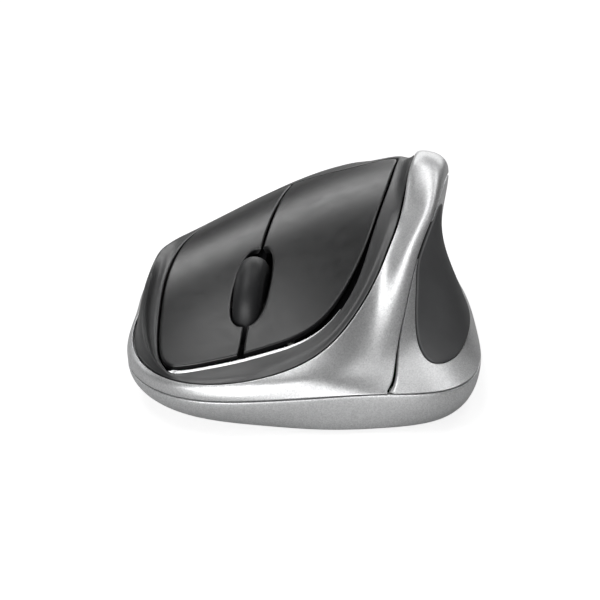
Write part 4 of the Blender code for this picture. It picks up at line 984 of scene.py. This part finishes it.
def make_trim_and_seam_shade():
    """The black gutter under the seam round the buttons and under the open recess: the gloss black trim in
    the recess, and painted shade in the seam beyond it.
    """
    sections = []
    for angle in np.arange(0, 360, 1.5):
        outer, inner = opening_radius(angle) + TRIM_SHADE_OUTSIDE, panel_radius(angle) - TRIM_SHADE_INSIDE
        radius = np.array((outer, inner, inner, outer))
        height = crown_at(angle, radius) - TRIM_SHADE_DROP - np.array(TRIM_SHADE_CORNERS)
        sections.append(polar(angle, radius, height))
    ring_piece("recess_gutter_seam_shade", sections, "gloss_black", "case", ("front_trim",))


def make_rim_seam_shade():
    """A black sheet under the seam between the cover and the silver rim: painted shade in the gap."""
    sections = []
    for angle in np.arange(0, 360, 1.5):
        radius = cover_edge(angle) + np.array(RIM_SHADE_RADII)
        sections.append(polar(angle, radius, section_at(angle)[0, 1] - np.array(RIM_SHADE_DEPTHS)))
    ring_piece("rim_seam_shade", sections, "gloss_black", "case")


def make_split_seam_shade():
    """A black sheet under the split between the buttons, behind the wheel: painted shade in the gap."""
    y = np.linspace(SLOT_CENTRE_Y + SLOT_HALF_LENGTH - 1.0, SPLIT_SHADE_REAR_Y, 40)[:, None]
    x = split_x(y) + np.array((-SPLIT_SHADE_HALF_WIDTH, SPLIT_SHADE_HALF_WIDTH))
    y = y + 0 * x
    height = crown(x, y)
    top = np.dstack([x, y, height - SPLIT_SHADE_TOP])
    bottom = np.dstack([x, y, height - SPLIT_SHADE_BOTTOM])
    plate_piece("split_seam_shade", top, bottom, "gloss_black", "case")


def make_strip():
    """The bevelled strip along the front edge of the recess, fading out to the right: bright metal, a painted
    highlight where the glossy trim catches light.
    """
    top, bottom = [], []
    for angle in np.linspace(*STRIP_ANGLES, 150):
        offset = angle - 360
        ends = smooth_step((offset - STRIP_LEFT) / STRIP_LEFT_FADE)
        ends *= smooth_step((STRIP_RIGHT - offset) / STRIP_RIGHT_FADE)
        width = STRIP_LEAST + STRIP_WIDTH * ends
        radius = opening_radius(angle) - STRIP_GAP - width * np.array(STRIP_ACROSS)
        height = crown_at(angle, radius) - (STRIP_DROP + np.array(STRIP_FALL) * min(1.0, width))
        top.append(polar(angle, radius, height))
        bottom.append(polar(angle, radius, height - STRIP_DEPTH))
    plate_piece("recess_strip", np.array(top), np.array(bottom), "strip_painted_highlight", "case", sharp=60)


# ---- scroll wheel ----

def make_wheel():
    """The smooth barrel-shaped rubber tyre."""
    low, high = in_mm(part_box("wheel_tyre"))
    centre = (low + high) / 2
    radius, half = (high[2] - low[2]) / 2, (high[0] - low[0]) / 2
    bend = np.linspace(0.04, pi - 0.04, 33)
    profile = list(zip(-half * np.cos(bend), radius - TYRE_DOME * (1 - np.sin(bend) ** 0.8)))
    inner = radius - TYRE_DEPTH
    profile += [(half - TYRE_CHAMFER, inner), (-half + TYRE_CHAMFER, inner)]
    sections = np.array(turned_rings(profile, centre, "x", 120)).transpose(1, 0, 2)
    ring_piece("tyre_rubber", sections, "tyre_rubber", "wheel", ("wheel_tyre",), sharp=50)


# ---- small parts underneath ----

def make_door():
    """The battery door, with rounded edges and finger grooves."""
    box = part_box("battery_door")
    low, high = in_mm(box)
    size = high - low
    centre = middle_of(*box)
    near, deep = arc_steps(DOOR_ROUND, 3)
    profile = [*zip(low[2] + deep, near), (high[2], 0.0)]
    rings = slab_rings(rounded_box(*size[:2], DOOR_CORNER), centre, profile)
    door = capped_piece("battery_door_plate", rings, "black_plastic", "door", ("battery_door",))
    groove = ((low[2] - 1.0, -0.2), (low[2], -0.2), (low[2] + GROOVE_DEPTH, 0.15))
    for step in range(GROOVES):
        place = centre + (0, size[1] / 2 - GROOVE_MARGIN - GROOVE_PITCH * step, 0)
        outline = stadium(GROOVE_LENGTH - GROOVE_TAPER * step, GROOVE_WIDTH)
        cut(door, f"door_groove_{step}", slab_rings(outline, place, groove))
    apply_cuts(door)


def make_case_screw(side):
    """A pan-head screw with a cross recess."""
    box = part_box(f"case_screw_{side}")
    low, high = in_mm(box)
    centre = middle_of(*box)
    head = (high[0] - low[0]) / 2
    bottom, top = low[2], high[2]
    profile = [(bottom, head * 0.55), (bottom + 0.05, head * 0.8), (bottom + 0.25, head * 0.96),
               (bottom + 0.5, head), (bottom + SCREW_HEAD, head), (bottom + SCREW_HEAD, SCREW_RADIUS),
               (top - 0.8, SCREW_RADIUS), (top, SCREW_RADIUS / 2)]
    rings = turned_rings(profile, centre, "z", 40)
    screw = capped_piece(f"case_screw_{side}_steel", rings, "steel", "case", (f"case_screw_{side}",))
    recess_profile = ((bottom - 1, 0), (bottom + 0.1, 0), (bottom + CROSS_DEPTH, 0.2))
    for turn in (0, 90):
        rings = slab_rings(rounded_box(*CROSS, 2), centre, recess_profile, turn + CROSS_TURN)
        cut(screw, f"case_screw_{side}_cross_{turn}", rings)
    apply_cuts(screw, 35)


# ---- stage ----

def make_floor():
    """The wide white table that the mouse stands on."""
    mesh = bpy.data.meshes.new("floor")
    corners = [(-1, -1), (1, -1), (1, 1), (-1, 1)]
    mesh.from_pydata([(FLOOR_REACH * x, FLOOR_REACH * y, 0) for x, y in corners], [], [(0, 1, 2, 3)])
    floor = add_object("floor", mesh)
    graph = moulded("floor_white", (FLOOR_GREY,) * 3, 0.7, grain=3.0, depth=0.01, spread=0.01)
    seen = graph.add("ShaderNodeLightPath").outputs["Is Camera Ray"]
    glow = graph.ramp(seen, ((0.0, FLOOR_GLOW), (1.0, FLOOR_WHITE)))
    graph.link(glow, graph.shader.inputs["Emission Strength"])
    mesh.materials.append(graph.material)


def soft_box(name, place, target, size, radiance):
    """A soft box aimed at a point, with its brightness as seen in a mirror."""
    light = bpy.data.lights.new(name, "AREA")
    light.shape = "RECTANGLE"
    light.size, light.size_y = size[0] * MM, size[1] * MM
    light.energy = radiance * pi * light.size * light.size_y
    made = add_object(name, light)
    made.location = Vector(place) * MM
    aim = (Vector(target) - Vector(place)) * MM
    made.rotation_euler = aim.to_track_quat("-Z", "Y").to_euler()


def make_lights():
    """The soft boxes, and a little light from everywhere."""
    world = bpy.data.worlds.new("studio")
    world.use_nodes = True
    set_inputs(world.node_tree.nodes["Background"], {"Color": (1, 1, 1, 1), "Strength": STUDIO_LIGHT})
    bpy.context.scene.world = world
    for name, values in SOFT_BOXES.items():
        soft_box(name, *values)


def make_camera():
    """The camera of the photo."""
    data = bpy.data.cameras.new("camera")
    data.lens = LENS
    data.clip_start, data.clip_end = 0.01, 20.0
    camera = add_object("camera", data)
    turn, rise = radians(CAMERA_TURN), radians(CAMERA_RISE)
    back = Vector((sin(turn) * cos(rise), -cos(turn) * cos(rise), sin(rise)))
    camera.location = (Vector(CAMERA_TARGET) + back * CAMERA_DISTANCE) * MM
    camera.rotation_euler = (-back).to_track_quat("-Z", "Y").to_euler()
    bpy.context.scene.camera = camera


# ---- everything ----

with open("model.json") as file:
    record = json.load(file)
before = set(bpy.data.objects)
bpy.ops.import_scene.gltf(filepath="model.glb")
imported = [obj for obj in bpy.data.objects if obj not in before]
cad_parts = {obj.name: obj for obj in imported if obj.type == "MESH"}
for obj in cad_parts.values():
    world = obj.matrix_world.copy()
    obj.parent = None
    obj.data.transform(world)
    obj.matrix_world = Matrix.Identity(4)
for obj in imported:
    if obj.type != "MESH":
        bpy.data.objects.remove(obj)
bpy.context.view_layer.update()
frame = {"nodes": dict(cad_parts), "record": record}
MATERIALS = make_materials()
for entry in frame["record"]["subparts"]:
    node = frame["nodes"][entry["node"]]
    for holder in node.material_slots:
        holder.material = MATERIALS[entry["material_slot"]]

make_camera()
make_lights()
make_floor()
make_housing()
make_thumb_panel()
make_thumb_grip()
make_base()
make_glides()
make_cover()
make_button("left_key_cap", -1, "left_key", "left_button")
make_button("right_key_cap", 1, "right_key", "right_button")
make_trim_and_seam_shade()
make_rim_seam_shade()
make_split_seam_shade()
make_strip()
make_wheel()
make_door()
for side in ("left", "right"):
    make_case_screw(side)

scene = bpy.context.scene
scene.view_settings.view_transform = "Standard"
scene.view_settings.look = "None"
